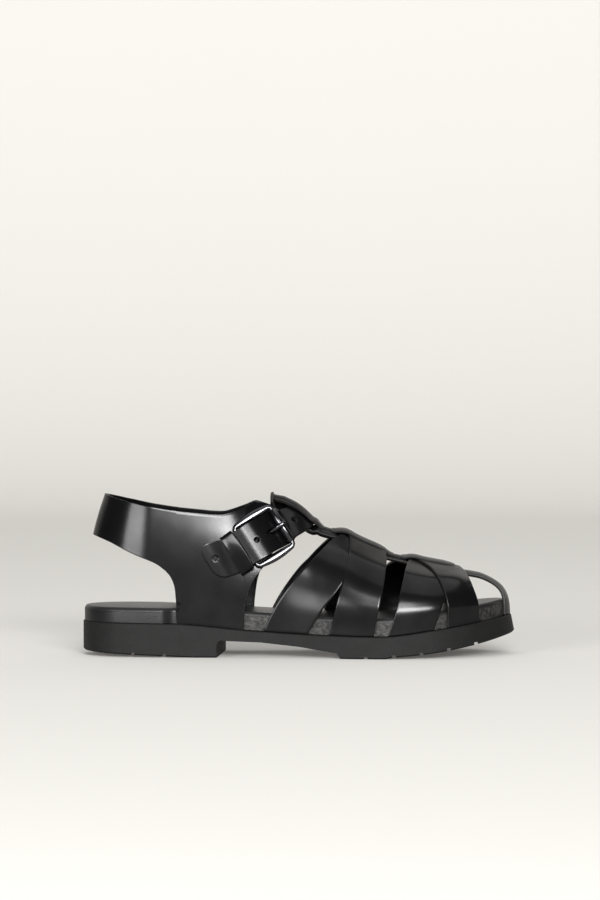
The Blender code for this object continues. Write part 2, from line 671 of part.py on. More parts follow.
class Buckle:
    """The buckle's own axes: along the strap, across it, and out from the quarter."""

    def __init__(self):
        small = 0.004
        middle = on_last(BUCKLE_ALONG, BUCKLE_TURN)
        run = on_last(BUCKLE_ALONG + small, BUCKLE_TURN) - on_last(BUCKLE_ALONG - small, BUCKLE_TURN)
        rise = on_last(BUCKLE_ALONG, BUCKLE_TURN + small) - on_last(BUCKLE_ALONG, BUCKLE_TURN - small)
        out = run.cross(rise).normalized()
        if out.y > 0:
            out = -out
        slope = math.radians(BUCKLE_SLOPE)
        forward = Vector((math.cos(slope), 0, math.sin(slope)))
        forward.y = -(forward.x * out.x + forward.z * out.z) / out.y
        self.forward = forward.normalized()
        roll = Matrix.Rotation(math.radians(BUCKLE_ROLL), 3, self.forward)
        self.out = roll @ out
        self.up = self.out.cross(self.forward).normalized()
        self.centre = middle + out * LEATHER
        self.surface = self.quarter_surface()

    def quarter_surface(self):
        """Outer face of the quarter as a fine net, for finding its height anywhere."""
        columns, rows = 60, 40
        points = []
        for i in range(columns + 1):
            along = 0.22 + 0.32 * i / columns
            for j in range(rows + 1):
                turn = -1 + j / rows
                near = on_last(along, turn)
                run = on_last(along + 0.003, turn) - near
                rise = on_last(along, min(turn + 0.01, 0)) - on_last(along, turn - 0.01)
                out = run.cross(rise).normalized()
                points.append(near + out * (LEATHER if out.y < 0 else -LEATHER))
        faces = []
        for i in range(columns):
            for j in range(rows):
                first = i * (rows + 1) + j
                faces.append((first, first + 1, first + rows + 2, first + rows + 1))
        return BVHTree.FromPolygons(points, faces)

    def place(self, along, across, height):
        return self.centre + self.forward * along + self.up * across + self.out * height

    def seat(self, along, across):
        """Height of the quarter's outer face under a point of the buckle."""
        start = self.place(along, across, 0.05)
        hit = self.surface.ray_cast(start, -self.out)
        return 0.05 - hit[3]

    def strap_height(self, along, across):
        """Height of the strap's inner face, which leans with the quarter near its tip."""
        share = along / BUCKLE_LENGTH
        half = BUCKLE_STRAP_WIDTH / 2
        lean = (self.seat(along, half) - self.seat(along, -half)) / (2 * half)
        lift = spline(STRAP_HEIGHTS, share) * BUCKLE_WIRE
        return self.seat(along, 0) + lift + spline(STRAP_TILTS, share) * lean * across

    def bar(self, side):
        """Middle of the hinge bar (-1) or of the roller bar (1): along and height."""
        along = side * (BUCKLE_LENGTH - BUCKLE_WIRE) / 2
        half = BUCKLE_WIDTH / 2
        if side < 0:
            highest = max(self.seat(along, half * share) for share in (-1, -0.5, 0, 0.5, 1))
            return along, highest + GAP + BUCKLE_WIRE / 2
        strap = self.strap_height(along, 0) + LEATHER * 1.1
        return along, strap + 2 * GAP + ROLLER_WALL + BUCKLE_WIRE / 2


def make_quarter(buckle):
    """One leather piece: heel strap, both side panels and the strap over the instep."""
    columns = 6
    grid = []

    def upright(along, low, high, sign):
        return [round_heel(sign * along, high + (low - high) * j / (columns - 1))
                for j in range(columns)]

    for row in reversed(QUARTER[1:] + OUTER_FRONT):
        grid.append(upright(row["along"], row["low"], row["high"], -1))
    for row in QUARTER:
        grid.append(upright(row["along"], row["low"], row["high"], 1))
    for row in INSTEP:
        grid.append([on_last(row["rear"] + (row["front"] - row["rear"]) * j / (columns - 1),
                             row["rear_turn"] + (row["front_turn"] - row["rear_turn"]) * j / (columns - 1))
                     for j in range(columns)])
    for row in STRAP_END:
        along = row["along"] * BUCKLE_LENGTH
        spread = [BUCKLE_STRAP_WIDTH / 2 * row["half"] * (1 - 2 * j / (columns - 1))
                  for j in range(columns)]
        grid.append([buckle.place(along, across, buckle.strap_height(along, across))
                     for across in spread])
    quarter = ribbon("quarter", grid, [0] * len(grid), [LEATHER] * len(grid), 1)

    cutters = []
    tip_hole = -0.205 * BUCKLE_LENGTH - 2 * HOLE_PITCH
    for number in range(5):
        along = tip_hole + number * HOLE_PITCH
        pierced = number == 3
        floor = -3 * LEATHER if number > 3 else GAP
        length = HOLE_DIAMETER * (2.3 if pierced else 1.0)
        middle = along - (HOLE_DIAMETER * 1.1 if pierced else 0)
        base = max(buckle.seat(middle + s * length / 2, 0) for s in (-1, 0, 1)) + floor

        def hole(shape, middle=middle, length=length, base=base):
            bmesh.ops.create_cone(shape, cap_ends=True, segments=12, radius1=HOLE_DIAMETER / 2,
                                  radius2=HOLE_DIAMETER / 2, depth=0.02)
            for vertex in shape.verts:
                x, y, z = vertex.co
                vertex.co = buckle.place(middle + x * length / HOLE_DIAMETER, y, base + 0.01 + z)
        cutters.append(new_object("hole_cutter", hole))
    cut(quarter, cutters)
    finish(quarter, LEATHER_FINISH)


def make_keeper(buckle):
    """Leather loop that holds the strap's end, its feet on the quarter."""
    sections = []
    inside = BUCKLE_STRAP_WIDTH / 2 + GAP
    outside = inside + KEEPER_WALL
    for i in range(5):
        along = KEEPER_PLACE * BUCKLE_LENGTH + KEEPER_LENGTH * (i / 4 - 0.5)
        ring = []
        for side in (-1, 1):
            foot = buckle.seat(along, side * outside) + 2 * GAP
            under = buckle.strap_height(along, side * inside) + LEATHER * 1.2 + 2 * GAP
            over = under + KEEPER_WALL
            points = [(side * inside, under), (side * inside, foot), (side * outside, foot),
                      (side * outside, over - KEEPER_WALL * 0.6),
                      (side * (outside - KEEPER_WALL * 0.6), over)]
            ring += points if side < 0 else points[::-1]
        sections.append([buckle.place(along, across, height) for across, height in ring])
    finish(loft("keeper", sections), LEATHER_FINISH)


def tube(name, points, radius, sides, cyclic=False, scales=None):
    """Round wire along a path, as a mesh with closed ends."""
    curve = bpy.data.curves.new(name, "CURVE")
    curve.dimensions = "3D"
    curve.bevel_depth = radius
    curve.bevel_resolution = sides // 2 - 2
    curve.use_fill_caps = not cyclic
    path = curve.splines.new("POLY")
    path.points.add(len(points) - 1)
    for index, point in enumerate(points):
        path.points[index].co = (*point, 1)
        path.points[index].radius = scales[index] if scales else 1
    path.use_cyclic_u = cyclic
    holder = bpy.data.objects.new(name + "_path", curve)
    PARTS.objects.link(holder)
    bpy.context.view_layer.update()
    mesh = bpy.data.meshes.new_from_object(holder.evaluated_get(bpy.context.evaluated_depsgraph_get()))
    shape = bmesh.new()
    shape.from_mesh(mesh)
    bmesh.ops.remove_doubles(shape, verts=shape.verts, dist=0.00001)
    bmesh.ops.recalc_face_normals(shape, faces=shape.faces)
    shape.to_mesh(mesh)
    shape.free()
    result = bpy.data.objects.new(name, mesh)
    result.matrix_world = holder.matrix_world
    PARTS.objects.link(result)
    bpy.data.objects.remove(holder)
    bpy.data.curves.remove(curve)
    return result


def make_buckle(buckle):
    """Wire frame with a roller on its front bar and a prong hung on its rear bar."""
    half_width = (BUCKLE_WIDTH - BUCKLE_WIRE) / 2
    rear, rear_height = buckle.bar(-1)
    front, front_height = buckle.bar(1)
    points = []
    corners = ((front, half_width, 0), (rear, half_width, 90),
               (rear, -half_width, 180), (front, -half_width, 270))
    for corner_along, corner_across, start in corners:
        centre_along = corner_along - math.copysign(BUCKLE_CORNER, corner_along)
        centre_across = corner_across - math.copysign(BUCKLE_CORNER, corner_across)
        for step in range(5):
            angle = math.radians(start + 22.5 * step)
            along = centre_along + BUCKLE_CORNER * math.cos(angle)
            across = centre_across + BUCKLE_CORNER * math.sin(angle)
            share = (along - rear) / (front - rear)
            points.append(buckle.place(along, across, rear_height + (front_height - rear_height) * share))
    finish(tube("buckle_frame", points, BUCKLE_WIRE / 2, 12, cyclic=True), METAL)

    roller_half = half_width - BUCKLE_CORNER - GAP
    inside, outside = BUCKLE_WIRE / 2 + GAP, BUCKLE_WIRE / 2 + GAP + ROLLER_WALL
    sides = 20
    sections = []
    for across, radius in ((-roller_half, inside), (-roller_half, outside),
                           (roller_half, outside), (roller_half, inside)):
        ring = []
        for i in range(sides):
            angle = 2 * math.pi * i / sides
            ring.append(buckle.place(front + radius * math.cos(angle), across,
                                     front_height + radius * math.sin(angle)))
        sections.append(ring)
    finish(loft("buckle_roller", sections, closed=True), METAL)

    path, scales = [], []
    hook = BUCKLE_WIRE / 2 + 1.5 * GAP + PRONG_HOOK_WIRE / 2
    for step in range(7):
        angle = math.pi * (1 - 0.15 * step)
        path.append((rear + hook * math.cos(angle), rear_height + hook * math.sin(angle)))
        scales.append(PRONG_HOOK_WIRE / PRONG_WIRE)
    for along, height, scale in PRONG_PATH:
        path.append((along * BUCKLE_LENGTH, rear_height + height * BUCKLE_WIRE))
        scales.append(scale)
    over_roller = front_height + outside + GAP + PRONG_WIRE / 2
    for along, height, scale in PRONG_TIP:
        path.append((front + along * BUCKLE_LENGTH, over_roller + height * BUCKLE_WIRE))
        scales.append(scale)
    path = [buckle.place(along, 0, height) for along, height in path]
    finish(tube("buckle_prong", path, PRONG_WIRE / 2, 10, scales=scales), METAL)


def make_buckle_loop(buckle):
    """Short leather band that holds the hinge bar down, slit for the prong."""
    bar, bar_height = buckle.bar(-1)
    base = bar_height - BUCKLE_WIRE / 2 - GAP
    inner_radius = BUCKLE_WIRE / 2 + GAP
    foot = 0.0026
    rings = []
    outline_inner = [(bar - inner_radius - foot, base + GAP)]
    outline_outer = [(bar - inner_radius - foot, base + GAP + LOOP_WALL)]
    for step in range(9):
        angle = math.pi - math.pi * step / 8
        for outline, radius in ((outline_inner, inner_radius), (outline_outer, inner_radius + LOOP_WALL)):
            height = bar_height + radius * math.sin(angle)
            outline.append((bar + radius * math.cos(angle), height))
    outline_inner.insert(1, (bar - inner_radius, base + GAP))
    outline_outer.insert(1, (bar - inner_radius - LOOP_WALL, base + GAP + LOOP_WALL))
    outline_inner.append((bar + inner_radius, base + GAP))
    outline_outer.append((bar + inner_radius + LOOP_WALL, base + GAP))
    ring = outline_outer + outline_inner[::-1]
    for across in (-LOOP_WIDTH / 2, LOOP_WIDTH / 2):
        rings.append([buckle.place(along, across, height) for along, height in ring])
    band = loft("buckle_loop", rings)

    slit_half = PRONG_WIRE / 2 + 2 * GAP
    slit_rear = bar - inner_radius - LOOP_WALL - 2 * GAP

    def slit(shape):
        bmesh.ops.create_cube(shape, size=1)
        for vertex in shape.verts:
            along = slit_rear + (vertex.co.x + 0.5) * 0.012
            vertex.co = buckle.place(along, vertex.co.y * 2 * slit_half, bar_height + vertex.co.z * 0.02)
    cut(band, [new_object("slit_cutter", slit)])
    finish(band, LEATHER_FINISH)


for old in list(bpy.data.objects):
    bpy.data.objects.remove(old)

PARTS = bpy.data.collections.new("fisherman_sandal")
CUTTERS = bpy.data.collections.new("cutters")
bpy.context.scene.collection.children.link(PARTS)
bpy.context.scene.collection.children.link(CUTTERS)

RUBBER = plain_material("sole_rubber", (0.030, 0.029, 0.028), 0.75)
WRAP = plain_material("footbed_wrap", (0.012, 0.012, 0.013), 0.5)
LINING = plain_material("insole_leather", (0.016, 0.016, 0.017), 0.45)
LEATHER_FINISH = plain_material("black_leather", (0.010, 0.010, 0.011), 0.25)
METAL = plain_material("black_nickel", (0.10, 0.10, 0.105), 0.12, 1.0)

make_outsole()
make_footbed("midsole", WRAP, foot_level, midsole_top, GAP)
make_footbed("insole", LINING, lambda x: midsole_top(x) + GAP, insole_top, INSOLE_THICKNESS / 2)
make_upper()
BUCKLE = Buckle()
make_quarter(BUCKLE)
make_keeper(BUCKLE)
make_buckle(BUCKLE)
make_buckle_loop(BUCKLE)

# The origin is the middle of the outline on the floor
corner_low = Vector((min(v.co.x for v in bpy.data.objects["outsole"].data.vertices),
                     min(v.co.y for v in bpy.data.objects["outsole"].data.vertices), 0))
corner_high = Vector((max(v.co.x for v in bpy.data.objects["outsole"].data.vertices),
                      max(v.co.y for v in bpy.data.objects["outsole"].data.vertices), 0))
to_origin = Matrix.Translation((corner_low + corner_high) / -2)
for part in list(PARTS.objects) + list(CUTTERS.objects):
    part.data.transform(to_origin)
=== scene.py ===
import math

import bmesh
import bpy
from mathutils import Matrix, Vector
from mathutils.bvhtree import BVHTree


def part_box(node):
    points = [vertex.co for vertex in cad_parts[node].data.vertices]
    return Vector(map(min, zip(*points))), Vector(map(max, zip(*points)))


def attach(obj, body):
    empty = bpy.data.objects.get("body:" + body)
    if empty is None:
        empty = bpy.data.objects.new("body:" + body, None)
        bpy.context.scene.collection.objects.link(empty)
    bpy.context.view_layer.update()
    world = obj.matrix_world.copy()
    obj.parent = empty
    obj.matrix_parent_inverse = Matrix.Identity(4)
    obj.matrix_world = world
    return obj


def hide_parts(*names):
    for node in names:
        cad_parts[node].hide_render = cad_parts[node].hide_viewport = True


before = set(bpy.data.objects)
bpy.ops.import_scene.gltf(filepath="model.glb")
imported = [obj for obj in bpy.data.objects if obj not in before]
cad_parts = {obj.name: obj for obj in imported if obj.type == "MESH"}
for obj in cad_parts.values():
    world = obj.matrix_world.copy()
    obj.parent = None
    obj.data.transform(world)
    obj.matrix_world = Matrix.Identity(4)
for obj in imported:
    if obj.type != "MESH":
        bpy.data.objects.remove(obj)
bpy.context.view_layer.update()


# The outsole: one moulding of dark grey rubber with its heel, a hollow under the arch and
# cross grooves in the tread. Its wall is matt, slightly rough and faintly blotched.
LENGTH = 0.268
BALL_WIDTH = 0.096
HEEL_HEIGHT = 0.0214
TOE_SLANT = 0.0019
SOLE_BEVEL = 0.0009
SOLE_ROUND = 0.0005
GROOVE_WIDTH = 0.0024
GROOVE_DEPTH = 0.0016
SLANT_START = 0.85
SOLE_OUTLINE = (
    {"along": 0.00, "outer": 0.000, "inner": 0.000},
    {"along": 0.03, "outer": -0.218, "inner": 0.218},
    {"along": 0.08, "outer": -0.302, "inner": 0.302},
    {"along": 0.15, "outer": -0.338, "inner": 0.335},
    {"along": 0.25, "outer": -0.349, "inner": 0.333},
    {"along": 0.35, "outer": -0.359, "inner": 0.307},
    {"along": 0.45, "outer": -0.385, "inner": 0.307},
    {"along": 0.55, "outer": -0.437, "inner": 0.354},
    {"along": 0.65, "outer": -0.484, "inner": 0.437},
    {"along": 0.72, "outer": -0.500, "inner": 0.479},
    {"along": 0.80, "outer": -0.474, "inner": 0.484},
    {"along": 0.88, "outer": -0.390, "inner": 0.435},
    {"along": 0.94, "outer": -0.272, "inner": 0.348},
    {"along": 0.98, "outer": -0.125, "inner": 0.236},
    {"along": 1.00, "outer": 0.068, "inner": 0.068},
)
SOLE_TOP = ((0, 1.0), (0.21, 0.963), (0.40, 0.766), (0.567, 0.659), (0.68, 0.631),
            (0.813, 0.818), (0.914, 1.005), (1, 1.168))
SOLE_BOTTOM = ((0, 0.15), (0.05, 0.11), (0.112, 0.075), (0.194, 0.035), (0.27, 0), (0.69, 0),
               (0.713, 0.042), (0.78, 0.117), (0.828, 0.196), (0.896, 0.35), (1, 0.654))
BREAST_OUTER = 0.306
BREAST_INNER = 0.334
BREAST_FILLET = 0.012
ARCH = ((0.336, 0.495), (0.41, 0.449), (0.504, 0.327), (0.541, 0.248), (0.586, 0.164),
        (0.594, 0.02), (0.597, -0.3))
GROOVES = (0.1175, 0.190, 0.653, 0.717, 0.780, 0.843, 0.906)
# From the last's own axes, with x from the back of the heel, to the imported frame
TO_FRAME = Matrix.Translation((-LENGTH / 2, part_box("outsole")[0].y + BALL_WIDTH / 2, 0))


def spline(table, place):
    """Smooth value of a table of (place, value) rows that never overshoots them."""
    last = len(table) - 1
    if place <= table[0][0]:
        return table[0][1]
    if place >= table[last][0]:
        return table[last][1]
    index = max(i for i in range(last) if table[i][0] <= place)

    def slope(i):
        return (table[i + 1][1] - table[i][1]) / (table[i + 1][0] - table[i][0])

    def tangent(i):
        if i in (0, last):
            return slope(min(i, last - 1))
        before, after = slope(i - 1), slope(i)
        return 0 if before * after <= 0 else 2 * before * after / (before + after)

    step = table[index + 1][0] - table[index][0]
    t = (place - table[index][0]) / step
    return ((2 * t ** 3 - 3 * t * t + 1) * table[index][1]
            + (3 * t * t - 2 * t ** 3) * table[index + 1][1]
            + step * ((t ** 3 - 2 * t * t + t) * tangent(index) + (t ** 3 - t * t) * tangent(index + 1)))


def smooth_step(value):
    value = min(max(value, 0.0), 1.0)
    return value * value * (3 - 2 * value)


def edge_angle(along):
    return math.acos(max(-1.0, min(1.0, 1 - 2 * along)))


OUTLINE = {side: [(edge_angle(row["along"]), row[side]) for row in SOLE_OUTLINE]
           for side in ("outer", "inner")}


def sole_top(x):
    return spline(SOLE_TOP, x / LENGTH) * HEEL_HEIGHT


def sole_bottom(x):
    return spline(SOLE_BOTTOM, x / LENGTH) * HEEL_HEIGHT


def edge_point(angle, side, inset, slant=TOE_SLANT):
    """Point of the sole's top edge by angle, 0 at the heel and pi at the toe, moved inwards."""
    def plain(value):
        value = min(max(value, 0.0), math.pi)
        along = (1 - math.cos(value)) / 2
        x = along * LENGTH - slant * smooth_step((along - SLANT_START) / (1 - SLANT_START))
        return Vector((x, spline(OUTLINE[side], value) * BALL_WIDTH))

    small = 0.02
    run = plain(angle + small) - plain(angle - small)
    if angle < small or angle > math.pi - small:
        run = Vector((0, 1 if side == "inner" else -1)) * (1 if angle < small else -1)
    run.normalize()
    inward = Vector((run.y, -run.x)) if side == "inner" else Vector((-run.y, run.x))
    return plain(angle) + inward * inset


def polyline(points, share):
    """Point at a share of a list of corners, each stretch taking an equal share."""
    place = share * (len(points) - 1)
    index = min(int(place + 1e-6), len(points) - 2)
    return points[index].lerp(points[index + 1], place - index)


def sleeve(place, along, around):
    """Closed skin of a long piece: place(u, v) gives its points, v running once round."""
    shape = bmesh.new()
    bmesh.ops.create_grid(shape, x_segments=along, y_segments=around, size=0.5)
    for vertex in shape.verts:
        vertex.co = place(vertex.co.x + 0.5, vertex.co.y + 0.5)
    bmesh.ops.remove_doubles(shape, verts=shape.verts, dist=2e-6)
    rims = [edge for edge in shape.edges if edge.is_boundary]
    if rims:
        bmesh.ops.holes_fill(shape, edges=rims, sides=0)
    bmesh.ops.recalc_face_normals(shape, faces=shape.faces)
    return shape


def settle(shape, name, finishes, node, sharp=40):
    """Turns a shape into a piece of the sandal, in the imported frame."""
    bmesh.ops.transform(shape, matrix=TO_FRAME, verts=shape.verts)
    mesh = bpy.data.meshes.new(name)
    shape.to_mesh(mesh)
    shape.free()
    mesh.shade_smooth()
    mesh.set_sharp_from_angle(angle=math.radians(sharp))
    piece = bpy.data.objects.new(name, mesh)
    bpy.context.scene.collection.objects.link(piece)
    for finish in finishes:
        mesh.materials.append(finish.material)
    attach(piece, "root")
    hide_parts(node)
    return piece


class Value:
    """One socket of a material; arithmetic on it adds Math nodes."""

    def __init__(self, finish, socket):
        self.finish = finish
        self.socket = socket

    def math(self, operation, first, second):
        return self.finish.node("ShaderNodeMath", {"operation": operation}, {0: first, 1: second})

    def __add__(self, other):
        return self.math("ADD", self, other)

    def __mul__(self, other):
        return self.math("MULTIPLY", self, other)

    __radd__ = __add__
    __rmul__ = __mul__


class Finish:
    """A material and its Principled shader, with one method for every other node."""

    def __init__(self, name, **constants):
        self.material = bpy.data.materials.new(name)
        self.material.use_nodes = True
        self.tree = self.material.node_tree
        self.shader = self.tree.nodes["Principled BSDF"]
        for key, value in constants.items():
            self.shader.inputs[key.replace("_", " ")].default_value = value
        self.place = self.node("ShaderNodeTexCoord", output="Object")

    def node(self, kind, settings=None, inputs=None, output=0):
        made = self.tree.nodes.new(kind)
        for key, value in (settings or {}).items():
            if key == "stops":
                made.color_ramp.elements[0].position = value[0]
                made.color_ramp.elements[1].position = value[1]
            else:
                setattr(made, key, value)
        for key, value in (inputs or {}).items():
            if isinstance(value, Value):
                self.tree.links.new(value.socket, made.inputs[key])
            else:
                made.inputs[key].default_value = value
        return Value(self, made.outputs[output])

    def feed(self, **values):
        for key, value in values.items():
            self.tree.links.new(value.socket, self.shader.inputs[key.replace("_", " ")])

    def tint(self, share, dark, light):
        """Colour between two, by a share."""
        mixed = self.node("ShaderNodeMix", {"data_type": "RGBA"}, {"Factor": share}, output="Result")
        node = mixed.socket.node
        sockets = [s for s in node.inputs if s.type == "RGBA"]
        sockets[0].default_value = (*dark, 1)
        sockets[1].default_value = (*light, 1)
        return Value(self, next(s for s in node.outputs if s.type == "RGBA"))

    def noise(self, scale, detail=2.0, place=None):
        return self.node("ShaderNodeTexNoise", None,
                         {"Vector": place or self.place, "Scale": scale, "Detail": detail})

    def relief(self, height, depth, strength=1.0):
        return self.node("ShaderNodeBump", None,
                         {"Height": height, "Distance": depth, "Strength": strength}, output="Normal")


rubber = Finish("sole_rubber", Roughness=0.62, Specular_IOR_Level=0.22)
pebble = rubber.noise(2600, 3)
blotch = rubber.noise(160, 4)
chalk = rubber.node("ShaderNodeValToRGB", {"stops": (0.55, 0.75)}, {"Fac": rubber.noise(900, 4)})
wear = blotch * 0.5 + chalk * 0.22
rubber.feed(Base_Color=rubber.tint(wear, (0.0034, 0.0034, 0.0033), (0.0145, 0.0142, 0.0140)),
            Roughness=0.50 + pebble * 0.25,
            Normal=rubber.relief(pebble + blotch * 0.6 + chalk * 0.5, 0.00016, 0.8))


def sole_section(u, v):
    angle = math.pi * (0.008 + 0.984 * u)
    corners = []
    for side, order in (("outer", 1), ("inner", -1)):
        top = edge_point(angle, side, 0)
        lip = edge_point(angle, side, SOLE_ROUND)
        bottom = edge_point(angle, side, 0, slant=0)
        tread = edge_point(angle, side, SOLE_BEVEL, slant=0)
        points = [
            Vector((tread.x, tread.y, sole_bottom(tread.x))),
            Vector((bottom.x, bottom.y, sole_bottom(bottom.x) + SOLE_BEVEL)),
            Vector((top.x, top.y, sole_top(top.x) - SOLE_ROUND)),
            Vector((lip.x, lip.y, sole_top(lip.x))),
        ]
        corners += points[::order]
    return polyline(corners + corners[:1], v)


SOLE_SHARP = 32
sole = settle(sleeve(sole_section, 260, 16), "outsole_skin", [rubber], "outsole",
              SOLE_SHARP)

arch_shape = bmesh.new()
arch_sides = []
for y in (-BALL_WIDTH, BALL_WIDTH):
    mean = BREAST_OUTER + (BREAST_INNER - BREAST_OUTER) * (y / BALL_WIDTH * 2 + 1) / 2
    fillet = BREAST_FILLET * LENGTH
    top = ARCH[0][1] * HEEL_HEIGHT
    arc = [(mean * LENGTH + fillet * (1 - math.cos(math.pi / 2 * i / 6)),
            top - fillet * (1 - math.sin(math.pi / 2 * i / 6))) for i in range(7)]
    under = [(x * LENGTH, height * HEEL_HEIGHT) for x, height in ARCH[1:]]
    profile = [(mean * LENGTH, -HEEL_HEIGHT)] + arc + under + [(ARCH[-1][0] * LENGTH, -HEEL_HEIGHT)]
    arch_sides.append([arch_shape.verts.new((x, y, z)) for x, z in profile])
loops = [[arch_shape.edges.new((ring[i], ring[(i + 1) % len(ring)])) for i in range(len(ring))]
         for ring in arch_sides]
bmesh.ops.bridge_loops(arch_shape, edges=loops[0] + loops[1])
for ring in arch_sides:
    arch_shape.faces.new(ring)
cutting = [arch_shape]
for along in GROOVES:
    x = along * LENGTH
    slope = (sole_bottom(x + GROOVE_WIDTH) - sole_bottom(x - GROOVE_WIDTH)) / 2 / GROOVE_WIDTH
    groove = bmesh.new()
    bmesh.ops.create_cube(groove, size=1)
    bmesh.ops.scale(groove, verts=groove.verts, vec=(GROOVE_WIDTH, 2 * BALL_WIDTH, 2 * HEEL_HEIGHT))
    bmesh.ops.translate(groove, verts=groove.verts, vec=(0, 0, -HEEL_HEIGHT))
    bmesh.ops.rotate(groove, verts=groove.verts, matrix=Matrix.Rotation(-math.atan(slope), 3, "Y"))
    bmesh.ops.translate(groove, verts=groove.verts, vec=(x, 0, sole_bottom(x) + GROOVE_DEPTH))
    cutting.append(groove)
for number, shape in enumerate(cutting):
    bmesh.ops.recalc_face_normals(shape, faces=shape.faces)
    bmesh.ops.transform(shape, matrix=TO_FRAME, verts=shape.verts)
    cutter_mesh = bpy.data.meshes.new("cutter")
    shape.to_mesh(cutter_mesh)
    shape.free()
    cutter = bpy.data.objects.new("cutter", cutter_mesh)
    bpy.context.scene.collection.objects.link(cutter)
    modifier = sole.modifiers.new("cut", "BOOLEAN")
    modifier.operation = "DIFFERENCE"
    modifier.object = cutter
    modifier.solver = "EXACT"
bpy.context.view_layer.update()
cut_mesh = bpy.data.meshes.new_from_object(sole.evaluated_get(bpy.context.evaluated_depsgraph_get()))
for modifier in list(sole.modifiers):
    bpy.data.objects.remove(modifier.object)
    sole.modifiers.remove(modifier)
sole.data = cut_mesh
cut_mesh.set_sharp_from_angle(angle=math.radians(SOLE_SHARP))


# The footbed: a cork or foam core wrapped in soft black leather, nearly flush with the
# rubber round the heel and stepped in behind the straps, where its side is a dull,
# mottled suede whose light grey is partly its own tone and partly painted sheen for the
# light that side catches. On it lies the insole of smooth lining leather with a rounded edge.
MIDSOLE_THICKNESS = 0.0065
INSOLE_THICKNESS = 0.0025
MIDSOLE_SHARE = ((0, 1.0), (0.2, 1.0), (0.4, 1.30), (0.7, 1.22), (0.95, 1.15), (1, 1.05))
LEATHER = 0.0020
WELT_MARGIN = 0.0018
HEEL_MARGIN = 0.0007
GAP = 0.0003
STRAP_INSET = WELT_MARGIN + LEATHER
STEP_IN_START = 0.180
STEP_IN_RUN = 0.034
MATT_START = 0.218
MATT_FULL = 0.225


def foot_level(x):
    return sole_top(x) + GAP


def midsole_thickness(x):
    return spline(MIDSOLE_SHARE, x / LENGTH) * MIDSOLE_THICKNESS


def insole_bottom(x):
    return foot_level(x) + midsole_thickness(x) + GAP


def insole_top(x):
    return insole_bottom(x) + INSOLE_THICKNESS


def footbed_inset(x):
    inside = STRAP_INSET + GAP
    return HEEL_MARGIN + (inside - HEEL_MARGIN) * smooth_step((x / LENGTH - STEP_IN_START) / STEP_IN_RUN)


def footbed(bottom, top, rim, steps=8):
    """Slab with the footbed's outline and a round top edge."""
    def section(u, v):
        angle = math.pi * (0.020 + 0.962 * u)
        corners = []
        for side, order in (("outer", 1), ("inner", -1)):
            rough = edge_point(angle, side, 0)
            inset = footbed_inset(rough.x)
            foot = edge_point(angle, side, inset)
            points = [Vector((foot.x, foot.y, bottom(foot.x)))]
            for i in range(steps):
                turn = math.pi / 2 * i / (steps - 1)
                flat = edge_point(angle, side, inset + rim * (1 - math.cos(turn)))
                points.append(Vector((flat.x, flat.y, top(flat.x) - rim * (1 - math.sin(turn)))))
            corners += points[::order]
        return polyline(corners + corners[:1], v)
    return sleeve(section, 220, 2 * (steps + 1))


wrap = Finish("footbed_wrap", Roughness=0.42, Specular_IOR_Level=0.3)
behind = wrap.node("ShaderNodeSeparateXYZ", None, {"Vector": wrap.place})
recess = wrap.node("ShaderNodeMapRange", {"clamp": True},
                   {"Value": behind, "From Min": (MATT_START - 0.5) * LENGTH,
                    "From Max": (MATT_FULL - 0.5) * LENGTH, "To Min": 0.0, "To Max": 1.0})
crumble = wrap.noise(600, 6)
suede_mottle_and_sheen = wrap.node("ShaderNodeValToRGB", {"stops": (0.36, 0.80)}, {"Fac": wrap.noise(330, 7)})
fine = wrap.noise(1900, 3)
# Past MATT_START the side is painted light grey: partly the suede's own mottle, partly painted sheen for
# the light it catches.
wrap.feed(Base_Color=wrap.tint(recess * suede_mottle_and_sheen, (0.0050, 0.0050, 0.0054), (0.062, 0.060, 0.055)),
          Roughness=0.34 + fine * 0.12 + recess * 0.12,
          Normal=wrap.relief(fine * 0.3 + recess * crumble * 2.0, 0.0004, 0.8))
settle(footbed(foot_level, insole_bottom, GAP), "footbed_side", [wrap], "midsole", 50)

lining = Finish("insole_leather", Roughness=0.36, Specular_IOR_Level=0.25)
pore = lining.noise(1500, 4)
cloud = lining.noise(45, 3)
lining.feed(Base_Color=lining.tint(cloud, (0.0085, 0.0085, 0.009), (0.017, 0.017, 0.0175)),
            Roughness=0.26 + pore * 0.16 + cloud * 0.08,
            Normal=lining.relief(pore, 0.00018, 0.5))
settle(footbed(insole_bottom, insole_top, INSOLE_THICKNESS * 0.95), "insole_sheet", [lining],
       "insole", 50)


# The crossed straps: two pairs of 2 mm black leather bands over the last, each pair
# crossing on the ridge. The hide is smooth with a fine grain, polished but not lacquered,
# and the raw cut edges are brown black, painted a little lighter as painted highlight
# where their rims catch light. Their feet go down between footbed and rubber.
INSTEP_RISE = 0.086
EDGE_ROUND = 0.00042
FUSE = 0.0006
LIFT_FULL = 0.74
LIFT_END = 0.95
WALL_SHARE = 1.03
CREST = 0.32
CREST_START = 0.72
RIDGE = ((0.0, 1.75), (0.15, 1.73), (0.30, 1.50), (0.373, 1.149), (0.41, 1.019),
         (0.437, 0.948), (0.459, 0.909), (0.485, 0.873), (0.504, 0.831), (0.526, 0.772),
         (0.545, 0.748), (0.56, 0.730), (0.60, 0.698), (0.634, 0.645), (0.68, 0.583),
         (0.705, 0.550), (0.746, 0.507), (0.79, 0.450), (0.832, 0.407), (0.866, 0.370),
         (0.882, 0.335), (0.914, 0.297), (0.94, 0.249), (0.963, 0.202), (0.972, 0.165),
         (0.98, 0.0))
RIDGE_SIDE = ((0.3, 0.0), (0.45, 0.005), (0.6, 0.02), (0.75, 0.035), (0.9, 0.055), (1, 0.068))
